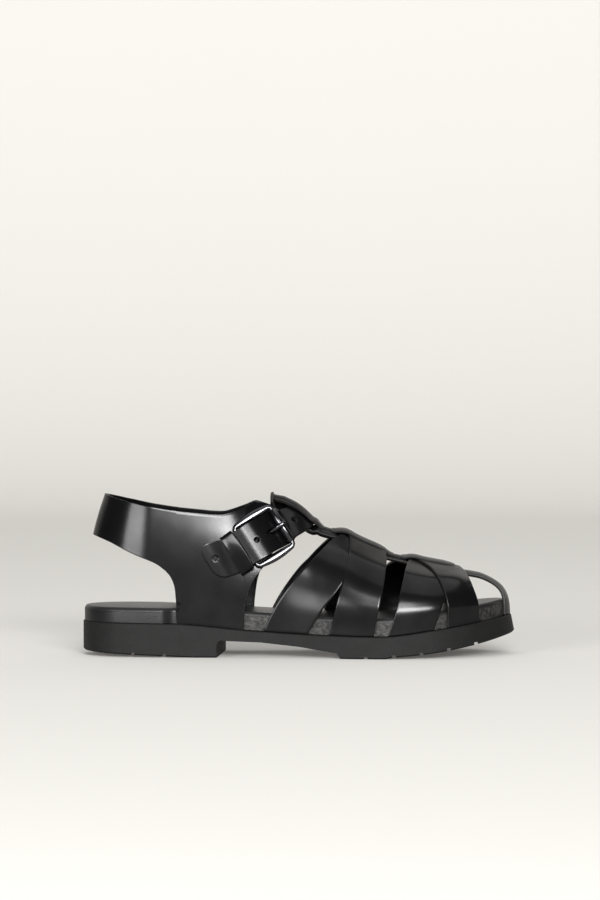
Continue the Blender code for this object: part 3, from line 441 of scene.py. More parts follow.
REAR_PAIR = (
    {"turn": -1.00, "rear": 0.419, "front": 0.520},
    {"turn": -0.86, "rear": 0.450, "front": 0.551},
    {"turn": -0.70, "rear": 0.492, "front": 0.590},
    {"turn": -0.50, "rear": 0.535, "front": 0.628},
    {"turn": -0.30, "rear": 0.571, "front": 0.657},
    {"turn": -0.10, "rear": 0.600, "front": 0.681},
    {"turn": 0.10, "rear": 0.612, "front": 0.695},
    {"turn": 0.30, "rear": 0.613, "front": 0.699},
    {"turn": 0.50, "rear": 0.608, "front": 0.696},
    {"turn": 0.70, "rear": 0.596, "front": 0.688},
    {"turn": 0.86, "rear": 0.582, "front": 0.679},
    {"turn": 1.00, "rear": 0.570, "front": 0.671},
)
FRONT_PAIR = (
    {"turn": -1.00, "rear": 0.704, "front": 0.808},
    {"turn": -0.80, "rear": 0.721, "front": 0.823},
    {"turn": -0.57, "rear": 0.734, "front": 0.838},
    {"turn": -0.30, "rear": 0.746, "front": 0.852},
    {"turn": -0.10, "rear": 0.756, "front": 0.864},
    {"turn": 0.10, "rear": 0.774, "front": 0.876},
    {"turn": 0.30, "rear": 0.806, "front": 0.889},
    {"turn": 0.50, "rear": 0.824, "front": 0.897},
    {"turn": 0.70, "rear": 0.835, "front": 0.905},
    {"turn": 0.86, "rear": 0.838, "front": 0.909},
    {"turn": 1.00, "rear": 0.838, "front": 0.911},
)


def edge_table(side, inset):
    """The sole's outline at an inset, as rows of x and y."""
    rows = []
    for i in range(1, 160):
        point = edge_point(math.pi * i / 160, side, inset)
        if not rows or point.x > rows[-1][0] + 1e-6:
            rows.append((point.x, point.y))
    return rows


LAST_EDGES = {side: edge_table(side, STRAP_INSET) for side in ("outer", "inner")}


def last_edge(side, x):
    rows = LAST_EDGES[side]
    if x <= rows[0][0]:
        return rows[0][1]
    for (x0, y0), (x1, y1) in zip(rows, rows[1:]):
        if x <= x1:
            return y0 + (y1 - y0) * (x - x0) / (x1 - x0)
    return rows[-1][1]


def ridge_height(x):
    return foot_level(x) + spline(RIDGE, x / LENGTH) * INSTEP_RISE


def crest(share):
    """How much the last narrows to its ridge, by share of its height."""
    return 1 - CREST * smooth_step((share - CREST_START) / (1 - CREST_START))


def side_width(x, z, side):
    """The last's middle and the distance of its side from it, at one height."""
    middle = spline(RIDGE_SIDE, x / LENGTH) * BALL_WIDTH
    wall_top = foot_level(x) + WALL_SHARE * (midsole_thickness(x) + INSOLE_THICKNESS)
    share = (z - wall_top) / max(ridge_height(x) - wall_top, 1e-6)
    share = min(max(share, 0.0), 1.0)
    return middle, (last_edge(side, x) - middle) * math.sqrt(1 - share * share) * crest(share)


def on_last(along, turn):
    """Point of the last: turn is 0 on the ridge, -1 at the outer foot, 1 at the inner."""
    x = along * LENGTH
    low = foot_level(x)
    z = low + (ridge_height(x) - low) * math.sin((1 - abs(turn)) * math.pi / 2)
    middle, width = side_width(x, z, "outer" if turn < 0 else "inner")
    return Vector((x, middle + width, z))


def off_last(along, turn, lift):
    """Point at a height over the last."""
    point = on_last(along, turn)
    if abs(lift) < 1e-6:
        return point
    run = on_last(along + 0.004, turn) - on_last(along - 0.004, turn)
    side = on_last(along, min(turn + 0.01, 0.995)) - on_last(along, max(turn - 0.01, -0.995))
    return point + run.cross(side).normalized() * lift


leather = Finish("black_leather", Roughness=0.42, Specular_IOR_Level=0.02, Coat_Roughness=0.20)
grain = leather.node("ShaderNodeTexVoronoi", {"feature": "SMOOTH_F1"},
                     {"Vector": leather.place, "Scale": 1350.0, "Smoothness": 0.6}, output="Distance")
crinkle = leather.noise(1700, 3)
handling = leather.noise(70, 4)
leather.feed(Base_Color=leather.tint(handling, (0.0018, 0.0018, 0.0021), (0.0034, 0.0033, 0.0036)),
             Roughness=0.34 + handling * 0.12 + crinkle * 0.10,
             Coat_Weight=0.25 + handling * 0.46,
             Normal=leather.relief(grain * 0.8 + crinkle * 0.8 + handling * 0.3, 0.00013, 0.9))
# Cut edges: their real brown-black tone, painted somewhat lighter as a painted highlight for the light
# their rims catch.
cut_edge = Finish("cut_edge", Roughness=0.4)
fibre = cut_edge.noise(1500, 4)
cut_edge.feed(Base_Color=cut_edge.tint(fibre, (0.0030, 0.0027, 0.0025), (0.012, 0.0105, 0.0095)),
              Roughness=0.34 + fibre * 0.25, Normal=cut_edge.relief(fibre, 0.0002, 0.6))


def lay(name, place, rows, columns, wall, node, punch=None):
    """Flat leather laid where place(u, v) says, given its wall and softened cut edges."""
    shape = bmesh.new()
    shape.loops.layers.uv.new("UVMap")
    bmesh.ops.create_grid(shape, x_segments=rows, y_segments=columns, size=0.5, calc_uvs=True)
    for vertex in shape.verts:
        vertex.co = place(vertex.co.x + 0.5, vertex.co.y + 0.5)
    inside = [vertex for vertex in shape.verts if not vertex.is_boundary]
    for _ in range(6):
        bmesh.ops.smooth_vert(shape, verts=inside, factor=0.5,
                              use_axis_x=True, use_axis_y=True, use_axis_z=True)
    if punch:
        punch(shape)
    piece = settle(shape, name, [leather, cut_edge], node, 180)
    skin = piece.modifiers.new("wall", "SOLIDIFY")
    skin.thickness = wall
    skin.offset = 1
    skin.use_even_offset = True
    skin.material_offset_rim = 1
    soft = piece.modifiers.new("soft_edges", "BEVEL")
    soft.width = EDGE_ROUND
    soft.segments = 3
    soft.limit_method = "ANGLE"
    soft.angle_limit = math.radians(50)
    return piece


STRAIGHT = ((0, 0), (1, 0))
REAR_INNER_LEG = ((0.4, 0), (0.83, -0.020), (1, -0.020))
FRONT_INNER_LEG = ((0.1, 0), (0.3, -0.020), (0.45, -0.038), (0.8, -0.037), (1, -0.033))
for name, table, mirrored, lean in (("rear_strap_outer_foot", REAR_PAIR, False, REAR_INNER_LEG),
                                    ("rear_strap_crossing", REAR_PAIR, True, STRAIGHT),
                                    ("front_strap_outer_foot", FRONT_PAIR, False, STRAIGHT),
                                    ("front_strap_crossing", FRONT_PAIR, True, FRONT_INNER_LEG)):
    rear_edge = [(row["turn"], row["rear"]) for row in table]
    front_edge = [(row["turn"], row["front"]) for row in table]

    def cross_strap(u, v, rear=rear_edge, front=front_edge, mirrored=mirrored, lean=lean):
        turn = -1 + 2 * u
        source = -turn if mirrored else turn
        moved = spline(lean, turn)
        raised = smooth_step((LIFT_END - abs(turn)) / (LIFT_END - LIFT_FULL)) if mirrored else 0
        along = spline(front, source) * (1 - v) + spline(rear, source) * v + moved
        return off_last(along, turn, (LEATHER - FUSE) * raised)

    lay(name, cross_strap, 150, 20, LEATHER, "upper")


# The centre strap: a band along the ridge, slit so that its middle goes over each
# crossing while the rest runs below, with its end curled up behind the instep strap.
CENTRE_STRAP_WIDTH = 0.018
BRIDGE_WIDTH = 0.0116
TAB_CURL = 0.0016
EDGE_DROP = 0.0016
CENTRE_STRAP = ((0.430, 0.0), (0.437, -0.15), (0.448, -1), (0.533, -1), (0.546, 0), (0.572, 0),
                (0.596, -1), (0.692, -1), (0.713, 0), (0.733, 0), (0.756, -1), (0.862, -1))
INSTEP_BRIDGE = ((0.434, 0), (0.441, 0.2), (0.450, 0.6), (0.461, 1), (0.533, 1), (0.540, 0.6),
                 (0.547, 0.2), (0.553, 0))
REAR_BRIDGE = ((0.575, 0), (0.584, 0.25), (0.596, 0.75), (0.608, 1), (0.665, 1), (0.680, 0.95),
               (0.693, 0.7), (0.705, 0.25), (0.717, 0))
FRONT_BRIDGE = ((0.737, 0), (0.747, 0.3), (0.758, 0.8), (0.770, 1), (0.830, 1), (0.845, 0.85),
                (0.858, 0.62))


def over_ridge(along, offset, lift):
    """Point over the last at a sideways distance from its ridge."""
    x = along * LENGTH
    low = foot_level(x)
    high = ridge_height(x)
    wall_top = low + WALL_SHARE * (midsole_thickness(x) + INSOLE_THICKNESS)
    edge = side_width(x, low, "outer" if offset < 0 else "inner")[1]
    share = 1.0
    for _ in range(4):
        share = math.sqrt(max(0, 1 - (offset / edge / crest(share)) ** 2))
    z = wall_top + (high - wall_top) * share
    turn = 1 - math.asin(min(1, (z - low) / (high - low))) * 2 / math.pi
    return off_last(along, math.copysign(turn, offset), lift)


def centre_band(u, v):
    along = CENTRE_STRAP[0][0] + (CENTRE_STRAP[-1][0] - CENTRE_STRAP[0][0]) * u
    level = spline(CENTRE_STRAP, along)
    depth = LEATHER + 2 * GAP if along < 0.55 else LEATHER - GAP
    curl = TAB_CURL * smooth_step((0.440 - along) / 0.010)
    drop = EDGE_DROP * (1 + level) * (2 * v - 1) ** 2 * smooth_step((along - 0.53) / 0.02)
    return over_ridge(along, CENTRE_STRAP_WIDTH * (v - 0.5), depth * level + curl - drop)


lay("centre_strap", centre_band, 240, 16, LEATHER, "upper")

for name, table, full_lift in (("instep_bridge", INSTEP_BRIDGE, LEATHER + 3 * GAP),
                               ("rear_bridge", REAR_BRIDGE, 2 * (LEATHER - FUSE)),
                               ("front_bridge", FRONT_BRIDGE, 2 * (LEATHER - FUSE))):
    def bridge_band(u, v, table=table, full_lift=full_lift):
        along = table[0][0] + (table[-1][0] - table[0][0]) * u
        lift = FUSE / 2 + spline(table, along) * (full_lift - FUSE / 2)
        return over_ridge(along, BRIDGE_WIDTH * (v - 0.5), lift)

    lay(name, bridge_band, 110, 12, LEATHER, "upper")


# The toe strap: a narrow band of the same leather from under the front crossing, over the
# toes and down to the rubber at the tip of the sole.
TOE_STRAP_WIDTH = 0.012
TOE_TILT = 0.12
TOE_TURN = 0.28
TOE_SHIFT = 0.003
TOE_STRAP = ((0.850, 0.367), (0.868, 0.346), (0.884, 0.332), (0.900, 0.317), (0.918, 0.297),
             (0.934, 0.270), (0.948, 0.240), (0.960, 0.207), (0.968, 0.175), (0.9735, 0.135),
             (0.9765, 0.085), (0.9775, 0.035), (0.9778, 0.0))


class Thread:
    """Smooth curve through points, read by a distance between its knots."""

    def __init__(self, points, knots=None):
        self.points = points
        self.knots = knots or [0.0]
        if not knots:
            for near, far in zip(points, points[1:]):
                self.knots.append(self.knots[-1] + (far - near).length)

    def tangent(self, i):
        last = len(self.points) - 1
        low, high = max(i - 1, 0), min(i + 1, last)
        if low == i or high == i:
            return (self.points[high] - self.points[low]) / (self.knots[high] - self.knots[low])
        before = self.knots[i] - self.knots[low]
        after = self.knots[high] - self.knots[i]
        slope_in = (self.points[i] - self.points[low]) / before
        slope_out = (self.points[high] - self.points[i]) / after
        return (slope_in * after + slope_out * before) / (before + after)

    def at(self, place):
        last = len(self.points) - 1
        place = min(max(place, 0.0), self.knots[last])
        i = max(k for k in range(last) if self.knots[k] <= place + 1e-12)
        step = self.knots[i + 1] - self.knots[i]
        t = (place - self.knots[i]) / step
        return ((2 * t ** 3 - 3 * t * t + 1) * self.points[i]
                + (3 * t * t - 2 * t ** 3) * self.points[i + 1]
                + step * ((t ** 3 - 2 * t * t + t) * self.tangent(i)
                          + (t ** 3 - t * t) * self.tangent(i + 1)))


toe_line = Thread([Vector((along * LENGTH, spline(RIDGE_SIDE, along) * BALL_WIDTH,
                           foot_level(along * LENGTH) + rise * INSTEP_RISE)) for along, rise in TOE_STRAP])


def toe_band(u, v):
    point = toe_line.at(u * toe_line.knots[-1])
    crown = 0.0007 * (1 - (2 * v - 1) ** 2)
    down = smooth_step(u * 1.7 - 0.7)
    across = TOE_STRAP_WIDTH * (v - 0.5)
    return point + Vector((crown * down + across * TOE_TURN * down,
                           across - TOE_SHIFT * smooth_step(u * 1.4 - 0.3),
                           crown * (1 - down) + across * TOE_TILT * (1 - down)))


lay("toe_strap", toe_band, 110, 12, LEATHER, "upper")


# The quarter: one piece of leather that is the strap round the heel, both side panels
# and the strap over the instep, whose tip goes through the buckle and back along the
# outer panel. Five holes are punched in it, and the buckle's prong stands in one.
QUARTER_RISE = 0.078
HEEL_ROUND = 0.17
BUCKLE_STRAP_WIDTH = 0.0235
BUCKLE_LENGTH = 0.0289
BUCKLE_WIDTH = 0.0310
BUCKLE_WIRE = 0.0028
BUCKLE_CORNER = 0.0022
ROLLER_WALL = 0.00065
BUCKLE_ALONG = 0.417
BUCKLE_TURN = -0.540
BUCKLE_SLOPE = 30.5
BUCKLE_ROLL = 2.3
HOLE_DIAMETER = 0.0037
HOLE_PITCH = 0.0147
HOLE_NEAREST = -0.205
TIP_HOLE_SHIFT = 0.0036
TAIL_START = -0.60
TAIL_RISE = 0.0050
PANEL_ROWS = 0.62
HEEL_BACK = ((0.4, 0.0185), (0.5, 0.0205), (0.68, 0.0295), (0.85, 0.0425), (1.0, 0.057))
QUARTER = (
    {"along": 0.000, "low": 0.679, "high": 1.002},
    {"along": 0.022, "low": 0.677, "high": 1.000},
    {"along": 0.044, "low": 0.668, "high": 0.993},
    {"along": 0.066, "low": 0.652, "high": 0.983},
    {"along": 0.086, "low": 0.630, "high": 0.971},
    {"along": 0.104, "low": 0.600, "high": 0.958},
    {"along": 0.121, "low": 0.566, "high": 0.946},
    {"along": 0.140, "low": 0.529, "high": 0.930},
    {"along": 0.157, "low": 0.497, "high": 0.916},
    {"along": 0.172, "low": 0.466, "high": 0.906},
    {"along": 0.185, "low": 0.436, "high": 0.899},
    {"along": 0.196, "low": 0.404, "high": 0.894},
    {"along": 0.205, "low": 0.366, "high": 0.890},
    {"along": 0.212, "low": 0.310, "high": 0.888},
    {"along": 0.217, "low": 0.180, "high": 0.886},
    {"along": 0.221, "low": 0.000, "high": 0.884},
    {"along": 0.245, "low": 0.000, "high": 0.880},
    {"along": 0.272, "low": 0.000, "high": 0.878},
    {"along": 0.300, "low": 0.000, "high": 0.879},
    {"along": 0.325, "low": 0.000, "high": 0.888},
    {"along": 0.350, "low": 0.000, "high": 0.921},
)
OUTER_FRONT = (
    {"along": 0.371, "low": 0.000, "high": 0.953},
    {"along": 0.375, "low": 0.150, "high": 0.958},
    {"along": 0.382, "low": 0.270, "high": 0.970},
    {"along": 0.394, "low": 0.382, "high": 0.984},
    {"along": 0.410, "low": 0.468, "high": 0.990},
    {"along": 0.426, "low": 0.540, "high": 0.978},
    {"along": 0.440, "low": 0.620, "high": 0.940},
    {"along": 0.450, "low": 0.720, "high": 0.880},
)
INSTEP = (
    {"rear": 0.372, "rear_turn": 0.458, "front": 0.376, "front_turn": 1.000},
    {"rear": 0.390, "rear_turn": 0.382, "front": 0.391, "front_turn": 1.000},
    {"rear": 0.403, "rear_turn": 0.340, "front": 0.397, "front_turn": 0.880},
    {"rear": 0.415, "rear_turn": 0.312, "front": 0.406, "front_turn": 0.770},
    {"rear": 0.427, "rear_turn": 0.285, "front": 0.424, "front_turn": 0.670},
    {"rear": 0.439, "rear_turn": 0.250, "front": 0.449, "front_turn": 0.575},
    {"rear": 0.450, "rear_turn": 0.210, "front": 0.474, "front_turn": 0.485},
    {"rear": 0.461, "rear_turn": 0.155, "front": 0.497, "front_turn": 0.385},
    {"rear": 0.471, "rear_turn": 0.085, "front": 0.517, "front_turn": 0.265},
    {"rear": 0.478, "rear_turn": 0.000, "front": 0.531, "front_turn": 0.110},
    {"rear": 0.477, "rear_turn": -0.085, "front": 0.533, "front_turn": -0.050},
    {"rear": 0.470, "rear_turn": -0.160, "front": 0.524, "front_turn": -0.200},
    {"rear": 0.458, "rear_turn": -0.225, "front": 0.509, "front_turn": -0.330},
)
STRAP_END = (
    {"along": 0.620, "height": -0.68, "tilt": 1.0, "half": 0.87},
    {"along": 0.530, "height": -0.25, "tilt": 0.5, "half": 0.94},
    {"along": 0.440, "height": 0.22, "tilt": 0.0, "half": 1.00},
    {"along": 0.340, "height": 0.36, "tilt": 0.0, "half": 1.00},
    {"along": 0.240, "height": 0.78, "tilt": 0.0, "half": 1.00},
    {"along": 0.120, "height": 1.35, "tilt": 0.0, "half": 1.00},
    {"along": -0.020, "height": 1.88, "tilt": 0.0, "half": 1.00},
    {"along": -0.160, "height": 2.18, "tilt": 0.0, "half": 1.00},
    {"along": -0.300, "height": 2.22, "tilt": 0.0, "half": 1.00},
    {"along": -0.455, "height": 2.02, "tilt": 0.0, "half": 1.00},
    {"along": -0.560, "height": 1.80, "tilt": 0.1, "half": 1.00},
    {"along": -0.670, "height": 1.28, "tilt": 0.4, "half": 1.00},
    {"along": -0.800, "height": 0.58, "tilt": 0.8, "half": 1.00},
    {"along": -0.960, "height": 0.24, "tilt": 1.0, "half": 1.00},
    {"along": -1.050, "height": 0.18, "tilt": 1.0, "half": 1.00},
    {"along": -1.140, "height": 0.18, "tilt": 1.0, "half": 0.97},
    {"along": -1.210, "height": 0.18, "tilt": 1.0, "half": 0.86},
    {"along": -1.260, "height": 0.18, "tilt": 1.0, "half": 0.66},
    {"along": -1.285, "height": 0.18, "tilt": 1.0, "half": 0.42},
)
STRAP_HEIGHTS = sorted((row["along"], row["height"]) for row in STRAP_END)
STRAP_TILTS = sorted((row["along"], row["tilt"]) for row in STRAP_END)


def round_heel(along, rise):
    """Point of the last by distance from the heel's back and height over the sole."""
    side = "outer" if along < 0 else "inner"
    distance = abs(along)
    x = max(distance, HEEL_ROUND) * LENGTH
    z = foot_level(x) + rise * QUARTER_RISE
    middle, width = side_width(x, z, side)
    if distance >= HEEL_ROUND:
        return Vector((x, middle + width, z))
    x_back = spline(HEEL_BACK, rise) * LENGTH
    angle = distance / HEEL_ROUND * math.pi / 2
    return Vector((x - (x - x_back) * math.cos(angle), middle + width * math.sin(angle), z))


class Buckle:
    """The buckle's own axes: along the strap, across it, and out from the quarter."""

    def __init__(self):
        small = 0.004
        run = on_last(BUCKLE_ALONG + small, BUCKLE_TURN) - on_last(BUCKLE_ALONG - small, BUCKLE_TURN)
        rise = on_last(BUCKLE_ALONG, BUCKLE_TURN + small) - on_last(BUCKLE_ALONG, BUCKLE_TURN - small)
        out = run.cross(rise).normalized()
        if out.y > 0:
            out = -out
        slope = math.radians(BUCKLE_SLOPE)
        forward = Vector((math.cos(slope), 0, math.sin(slope)))
        forward.y = -(forward.x * out.x + forward.z * out.z) / out.y
        self.forward = forward.normalized()
        self.out = Matrix.Rotation(math.radians(BUCKLE_ROLL), 3, self.forward) @ out
        self.up = self.out.cross(self.forward).normalized()
        self.centre = on_last(BUCKLE_ALONG, BUCKLE_TURN) + out * LEATHER
        self.surface = self.quarter_surface()

    def quarter_surface(self):
        """Outer face of the outer panel as a fine net, for finding its height anywhere."""
        columns, rows = 60, 40
        points = []
        for i in range(columns + 1):
            along = 0.22 + 0.32 * i / columns
            for j in range(rows + 1):
                turn = -1 + j / rows
                run = on_last(along + 0.003, turn) - on_last(along, turn)
                rise = on_last(along, min(turn + 0.01, 0)) - on_last(along, turn - 0.01)
                out = run.cross(rise).normalized()
                points.append(on_last(along, turn) + out * (LEATHER if out.y < 0 else -LEATHER))
        faces = []
        for i in range(columns):
            for j in range(rows):
                first = i * (rows + 1) + j
                faces.append((first, first + 1, first + rows + 2, first + rows + 1))
        return BVHTree.FromPolygons(points, faces)

    def place(self, along, across, height):
        return self.centre + self.forward * along + self.up * across + self.out * height

    def seat(self, along, across):
        """Height of the quarter's outer face under a point of the buckle."""
        return 0.05 - self.surface.ray_cast(self.place(along, across, 0.05), -self.out)[3]

    def strap_height(self, along, across):
        """Height of the strap's inner face, which leans with the quarter near its tip."""
        share = along / BUCKLE_LENGTH
        half = BUCKLE_STRAP_WIDTH / 2
        lean = (self.seat(along, half) - self.seat(along, -half)) / (2 * half)
        lift = spline(STRAP_HEIGHTS, share) * BUCKLE_WIRE
        return self.seat(along, 0) + lift + spline(STRAP_TILTS, share) * lean * across

    def tail_rise(self, along):
        """How far the strap's end bends up beyond the keeper."""
        share = (TAIL_START - along / BUCKLE_LENGTH) / (TAIL_START - STRAP_END[-1]["along"])
        return TAIL_RISE * max(0.0, share) ** 1.3

    def bar(self, side):
        """Middle of the hinge bar (-1) or of the roller bar (1): along and height."""
        along = side * (BUCKLE_LENGTH - BUCKLE_WIRE) / 2
        if side < 0:
            highest = max(self.seat(along, BUCKLE_WIDTH / 4 * share) for share in (-2, -1, 0, 1, 2))
            return along, highest + GAP + BUCKLE_WIRE / 2
        return along, self.strap_height(along, 0) + LEATHER * 1.1 + 2 * GAP + ROLLER_WALL + BUCKLE_WIRE / 2


buckle = Buckle()
COLUMNS = 6
pattern = [[round_heel(-row["along"], row["high"] + (row["low"] - row["high"]) * j / (COLUMNS - 1))
            for j in range(COLUMNS)] for row in reversed(QUARTER[1:] + OUTER_FRONT)]
pattern += [[round_heel(row["along"], row["high"] + (row["low"] - row["high"]) * j / (COLUMNS - 1))
             for j in range(COLUMNS)] for row in QUARTER]
pattern += [[on_last(row["rear"] + (row["front"] - row["rear"]) * j / (COLUMNS - 1),
                     row["rear_turn"] + (row["front_turn"] - row["rear_turn"]) * j / (COLUMNS - 1))
             for j in range(COLUMNS)] for row in INSTEP]
strap_start = len(pattern) - 4
for row in STRAP_END:
    along = row["along"] * BUCKLE_LENGTH
    spread = [BUCKLE_STRAP_WIDTH / 2 * row["half"] * (1 - 2 * j / (COLUMNS - 1)) + buckle.tail_rise(along)
              for j in range(COLUMNS)]
    pattern.append([buckle.place(along, across, buckle.strap_height(along, across)) for across in spread])
rail_knots = Thread([row[2].lerp(row[3], 0.5) for row in pattern]).knots
rails = [Thread([row[j] for row in pattern], rail_knots) for j in range(COLUMNS)]
cross_sections = {}


def quarter_sheet(u, v):
    key = round(u, 6)
    if key not in cross_sections:
        joint = rail_knots[strap_start]
        if u < PANEL_ROWS:
            place = joint * u / PANEL_ROWS
        else:
            place = joint + (rail_knots[-1] - joint) * (u - PANEL_ROWS) / (1 - PANEL_ROWS)
        cross_sections[key] = Thread([rail.at(place) for rail in rails], list(range(COLUMNS)))
    return cross_sections[key].at(v * (COLUMNS - 1))


def punch_holes(shape):
    """Cuts the round holes out of the strap, the fourth drawn long by the prong."""
    uv = shape.loops.layers.uv.active
    strap = [face for face in shape.faces if face.loops[0][uv].uv.x > PANEL_ROWS]
    for number in range(5):
        along = HOLE_NEAREST * BUCKLE_LENGTH + (number - 2) * HOLE_PITCH
        along += TIP_HOLE_SHIFT if number == 0 else 0
        stretch = 2.3 if number == 3 else 1.0
        along -= HOLE_DIAMETER * 1.1 if number == 3 else 0

        def radial(point):
            offset = point - buckle.place(along, 1.4 * buckle.tail_rise(along), 0)
            return Vector((offset.dot(buckle.forward) / stretch, offset.dot(buckle.up)))

        def height(point):
            return (point - buckle.centre).dot(buckle.out)

        near = min(strap, key=lambda face: radial(face.calc_center_median()).length)
        level = height(near.calc_center_median())
        hole = [face for face in strap if radial(face.calc_center_median()).length < HOLE_DIAMETER / 2
                and abs(height(face.calc_center_median()) - level) < LEATHER]
        strap = [face for face in strap if face not in hole]
        bmesh.ops.delete(shape, geom=hole, context="FACES")
        for vertex in shape.verts:
            flat = radial(vertex.co)
            on_strap = abs(height(vertex.co) - level) < LEATHER
            if vertex.is_boundary and on_strap and flat.length < HOLE_DIAMETER * 0.8:
                moved = flat.normalized() * HOLE_DIAMETER / 2 - flat
                vertex.co += buckle.forward * moved.x * stretch + buckle.up * moved.y


lay("quarter_leather", quarter_sheet, 520, 36, LEATHER, "quarter", punch_holes)


# The keeper: a loop of the same leather round the strap, its ends under the quarter's
# edge, holding the tip down.
KEEPER_PLACE = -0.69
KEEPER_LENGTH = 0.0076
KEEPER_WALL = 0.0014
KEEPER_ROUND = 0.0010


def keeper_band(u, v):
    along = KEEPER_PLACE * BUCKLE_LENGTH + KEEPER_LENGTH * (0.5 - v)
    inside = BUCKLE_STRAP_WIDTH / 2 + GAP
    corners = []
    for side in (-1, 1):
        foot = buckle.seat(along, side * (inside + KEEPER_WALL)) + 2 * GAP
        under = buckle.strap_height(along, side * inside) + LEATHER * 1.2 + 2 * GAP
        bend = [(side * inside, level) for level in (foot, (foot + under) / 2, under - KEEPER_ROUND)]
        for step in (1, 2, 3, 4):
            angle = step * math.pi / 8
            bend.append((side * (inside - KEEPER_ROUND * (1 - math.cos(angle))),
                         under - KEEPER_ROUND * (1 - math.sin(angle))))
        corners += bend if side < 0 else bend[::-1]
    points = [buckle.place(along, across, height) for across, height in corners]
    path = Thread(points)
    return path.at(u * path.knots[-1])


lay("keeper_leather", keeper_band, 90, 12, KEEPER_WALL, "keeper")


# The buckle: a bent wire frame with a turning roller on its front bar and a prong hooked
# round its rear bar, all in polished black nickel.
PRONG_WIRE = 0.0030
PRONG_HOOK_WIRE = 0.0010
PRONG_PATH = ((-0.315, 0.10, 0.9), (-0.23, -0.04, 1.0), (0.02, -0.02, 1.0), (0.11, 0.22, 1.0),
              (0.19, 0.75, 1.0), (0.27, 1.45, 1.0), (0.35, 2.02, 1.0))
PRONG_TIP = ((0.0, 0.0, 1.0), (0.035, -0.01, 1.0), (0.075, -0.06, 0.95))
FRAME_BULGE = 0.0024

nickel = Finish("black_nickel", Metallic=1.0, Roughness=0.2)
polish = nickel.noise(300, 3)
nickel.feed(Base_Color=nickel.tint(polish, (0.060, 0.060, 0.063), (0.095, 0.095, 0.099)),
            Roughness=0.15 + polish * 0.10, Normal=nickel.relief(polish, 0.00003, 0.5))

rear, rear_height = buckle.bar(-1)
front, front_height = buckle.bar(1)
half_width = (BUCKLE_WIDTH - BUCKLE_WIRE) / 2
flat_path = []
for corner_along, corner_across, start in ((front, half_width, 0), (rear, half_width, 90),
                                           (rear, -half_width, 180), (front, -half_width, 270)):
    middle = Vector((corner_along - math.copysign(BUCKLE_CORNER, corner_along),
                     corner_across - math.copysign(BUCKLE_CORNER, corner_across)))
    for step in range(10):
        angle = math.radians(start + 10 * step)
        flat_path.append(middle + Vector((math.cos(angle), math.sin(angle))) * BUCKLE_CORNER)
frame_path = []
frame_halves = []
for here, there in zip(flat_path, flat_path[1:] + flat_path[:1]):
    pieces = 16 if (there - here).length > BUCKLE_CORNER else 1
    for step in range(pieces):
        along, across = here.lerp(there, step / pieces)
        share = (along - rear) / (front - rear)
        swell = FRAME_BULGE * math.sin(math.pi * share) if abs(across) > half_width * 0.99 else 0
        height = rear_height + (front_height - rear_height) * share
        frame_path.append(buckle.place(along, across + math.copysign(swell * 0.2, across), height))
        frame_halves.append((BUCKLE_WIRE / 2 + swell / 2, BUCKLE_WIRE / 2))


def wire(path, halves, closed):
    """Point of a round or oval wire along a path: u along it, v round it."""
    count = len(path)

    def place(u, v):
        last = count if closed else count - 1
        i = min(int(u * last + 0.5), last)
        before = path[(i - 1) % count] if closed else path[max(i - 1, 0)]
        after = path[(i + 1) % count] if closed else path[min(i + 1, count - 1)]
        run = (after - before).normalized()
        side = run.cross(buckle.out).normalized() if closed else buckle.up
        out = side.cross(run).normalized()
        angle = 2 * math.pi * v
        wide, thick = halves[i % count]
        return path[i % count] + side * (math.cos(angle) * wide) + out * (math.sin(angle) * thick)
    return place


settle(sleeve(wire(frame_path, frame_halves, True), len(frame_path), 24),
       "buckle_wire", [nickel], "buckle_frame", 60)

roller_half = half_width - BUCKLE_CORNER - GAP
bore = BUCKLE_WIRE / 2 + GAP
skin = bore + ROLLER_WALL
round_end = ROLLER_WALL * 0.5
roller_section = [Vector((roller_half, bore)), Vector((roller_half, skin - round_end)),
                  Vector((roller_half - round_end, skin)), Vector((0, skin)),
                  Vector((round_end - roller_half, skin)), Vector((-roller_half, skin - round_end)),
                  Vector((-roller_half, bore)), Vector((0, bore)), Vector((roller_half, bore))]


def roller_skin(u, v):
    across, radius = polyline(roller_section, v)
    angle = 2 * math.pi * u
    return buckle.place(front + radius * math.cos(angle), across, front_height + radius * math.sin(angle))


settle(sleeve(roller_skin, 48, 8), "roller_tube", [nickel], "buckle_roller", 50)

hook = BUCKLE_WIRE / 2 + 1.5 * GAP + PRONG_HOOK_WIRE / 2
knots = []
for step in range(7):
    angle = math.pi * (1 - 0.15 * step)
    knots.append((rear + hook * math.cos(angle), rear_height + hook * math.sin(angle), PRONG_HOOK_WIRE / 2))
knots += [(along * BUCKLE_LENGTH, rear_height + height * BUCKLE_WIRE, share * PRONG_WIRE / 2)
          for along, height, share in PRONG_PATH]
over_roller = front_height + skin + GAP + PRONG_WIRE / 2
knots += [(front + along * BUCKLE_LENGTH, over_roller + height * BUCKLE_WIRE, share * PRONG_WIRE / 2)
          for along, height, share in PRONG_TIP]
prong_line = Thread([Vector(knot) for knot in knots])
prong_steps = 90
prong_path = []
prong_halves = []
for i in range(prong_steps + 1):
    along, height, half = prong_line.at(prong_line.knots[-1] * i / prong_steps)
    prong_path.append(buckle.place(along, 0, height))
    end = min(1, math.sqrt(max(0.0, 1 - (max(0, i - prong_steps + 5) / 5.2) ** 2)))
    prong_halves.append((half * end, half * end))
settle(sleeve(wire(prong_path, prong_halves, False), prong_steps, 14), "prong_wire", [nickel],
       "buckle_prong", 60)

# A short leather loop under the strap holds the frame's rear bar. Its solid is right as
# it is and takes the leather's finish.
for leather_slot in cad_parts["buckle_loop"].material_slots:
    leather_slot.material = leather.material


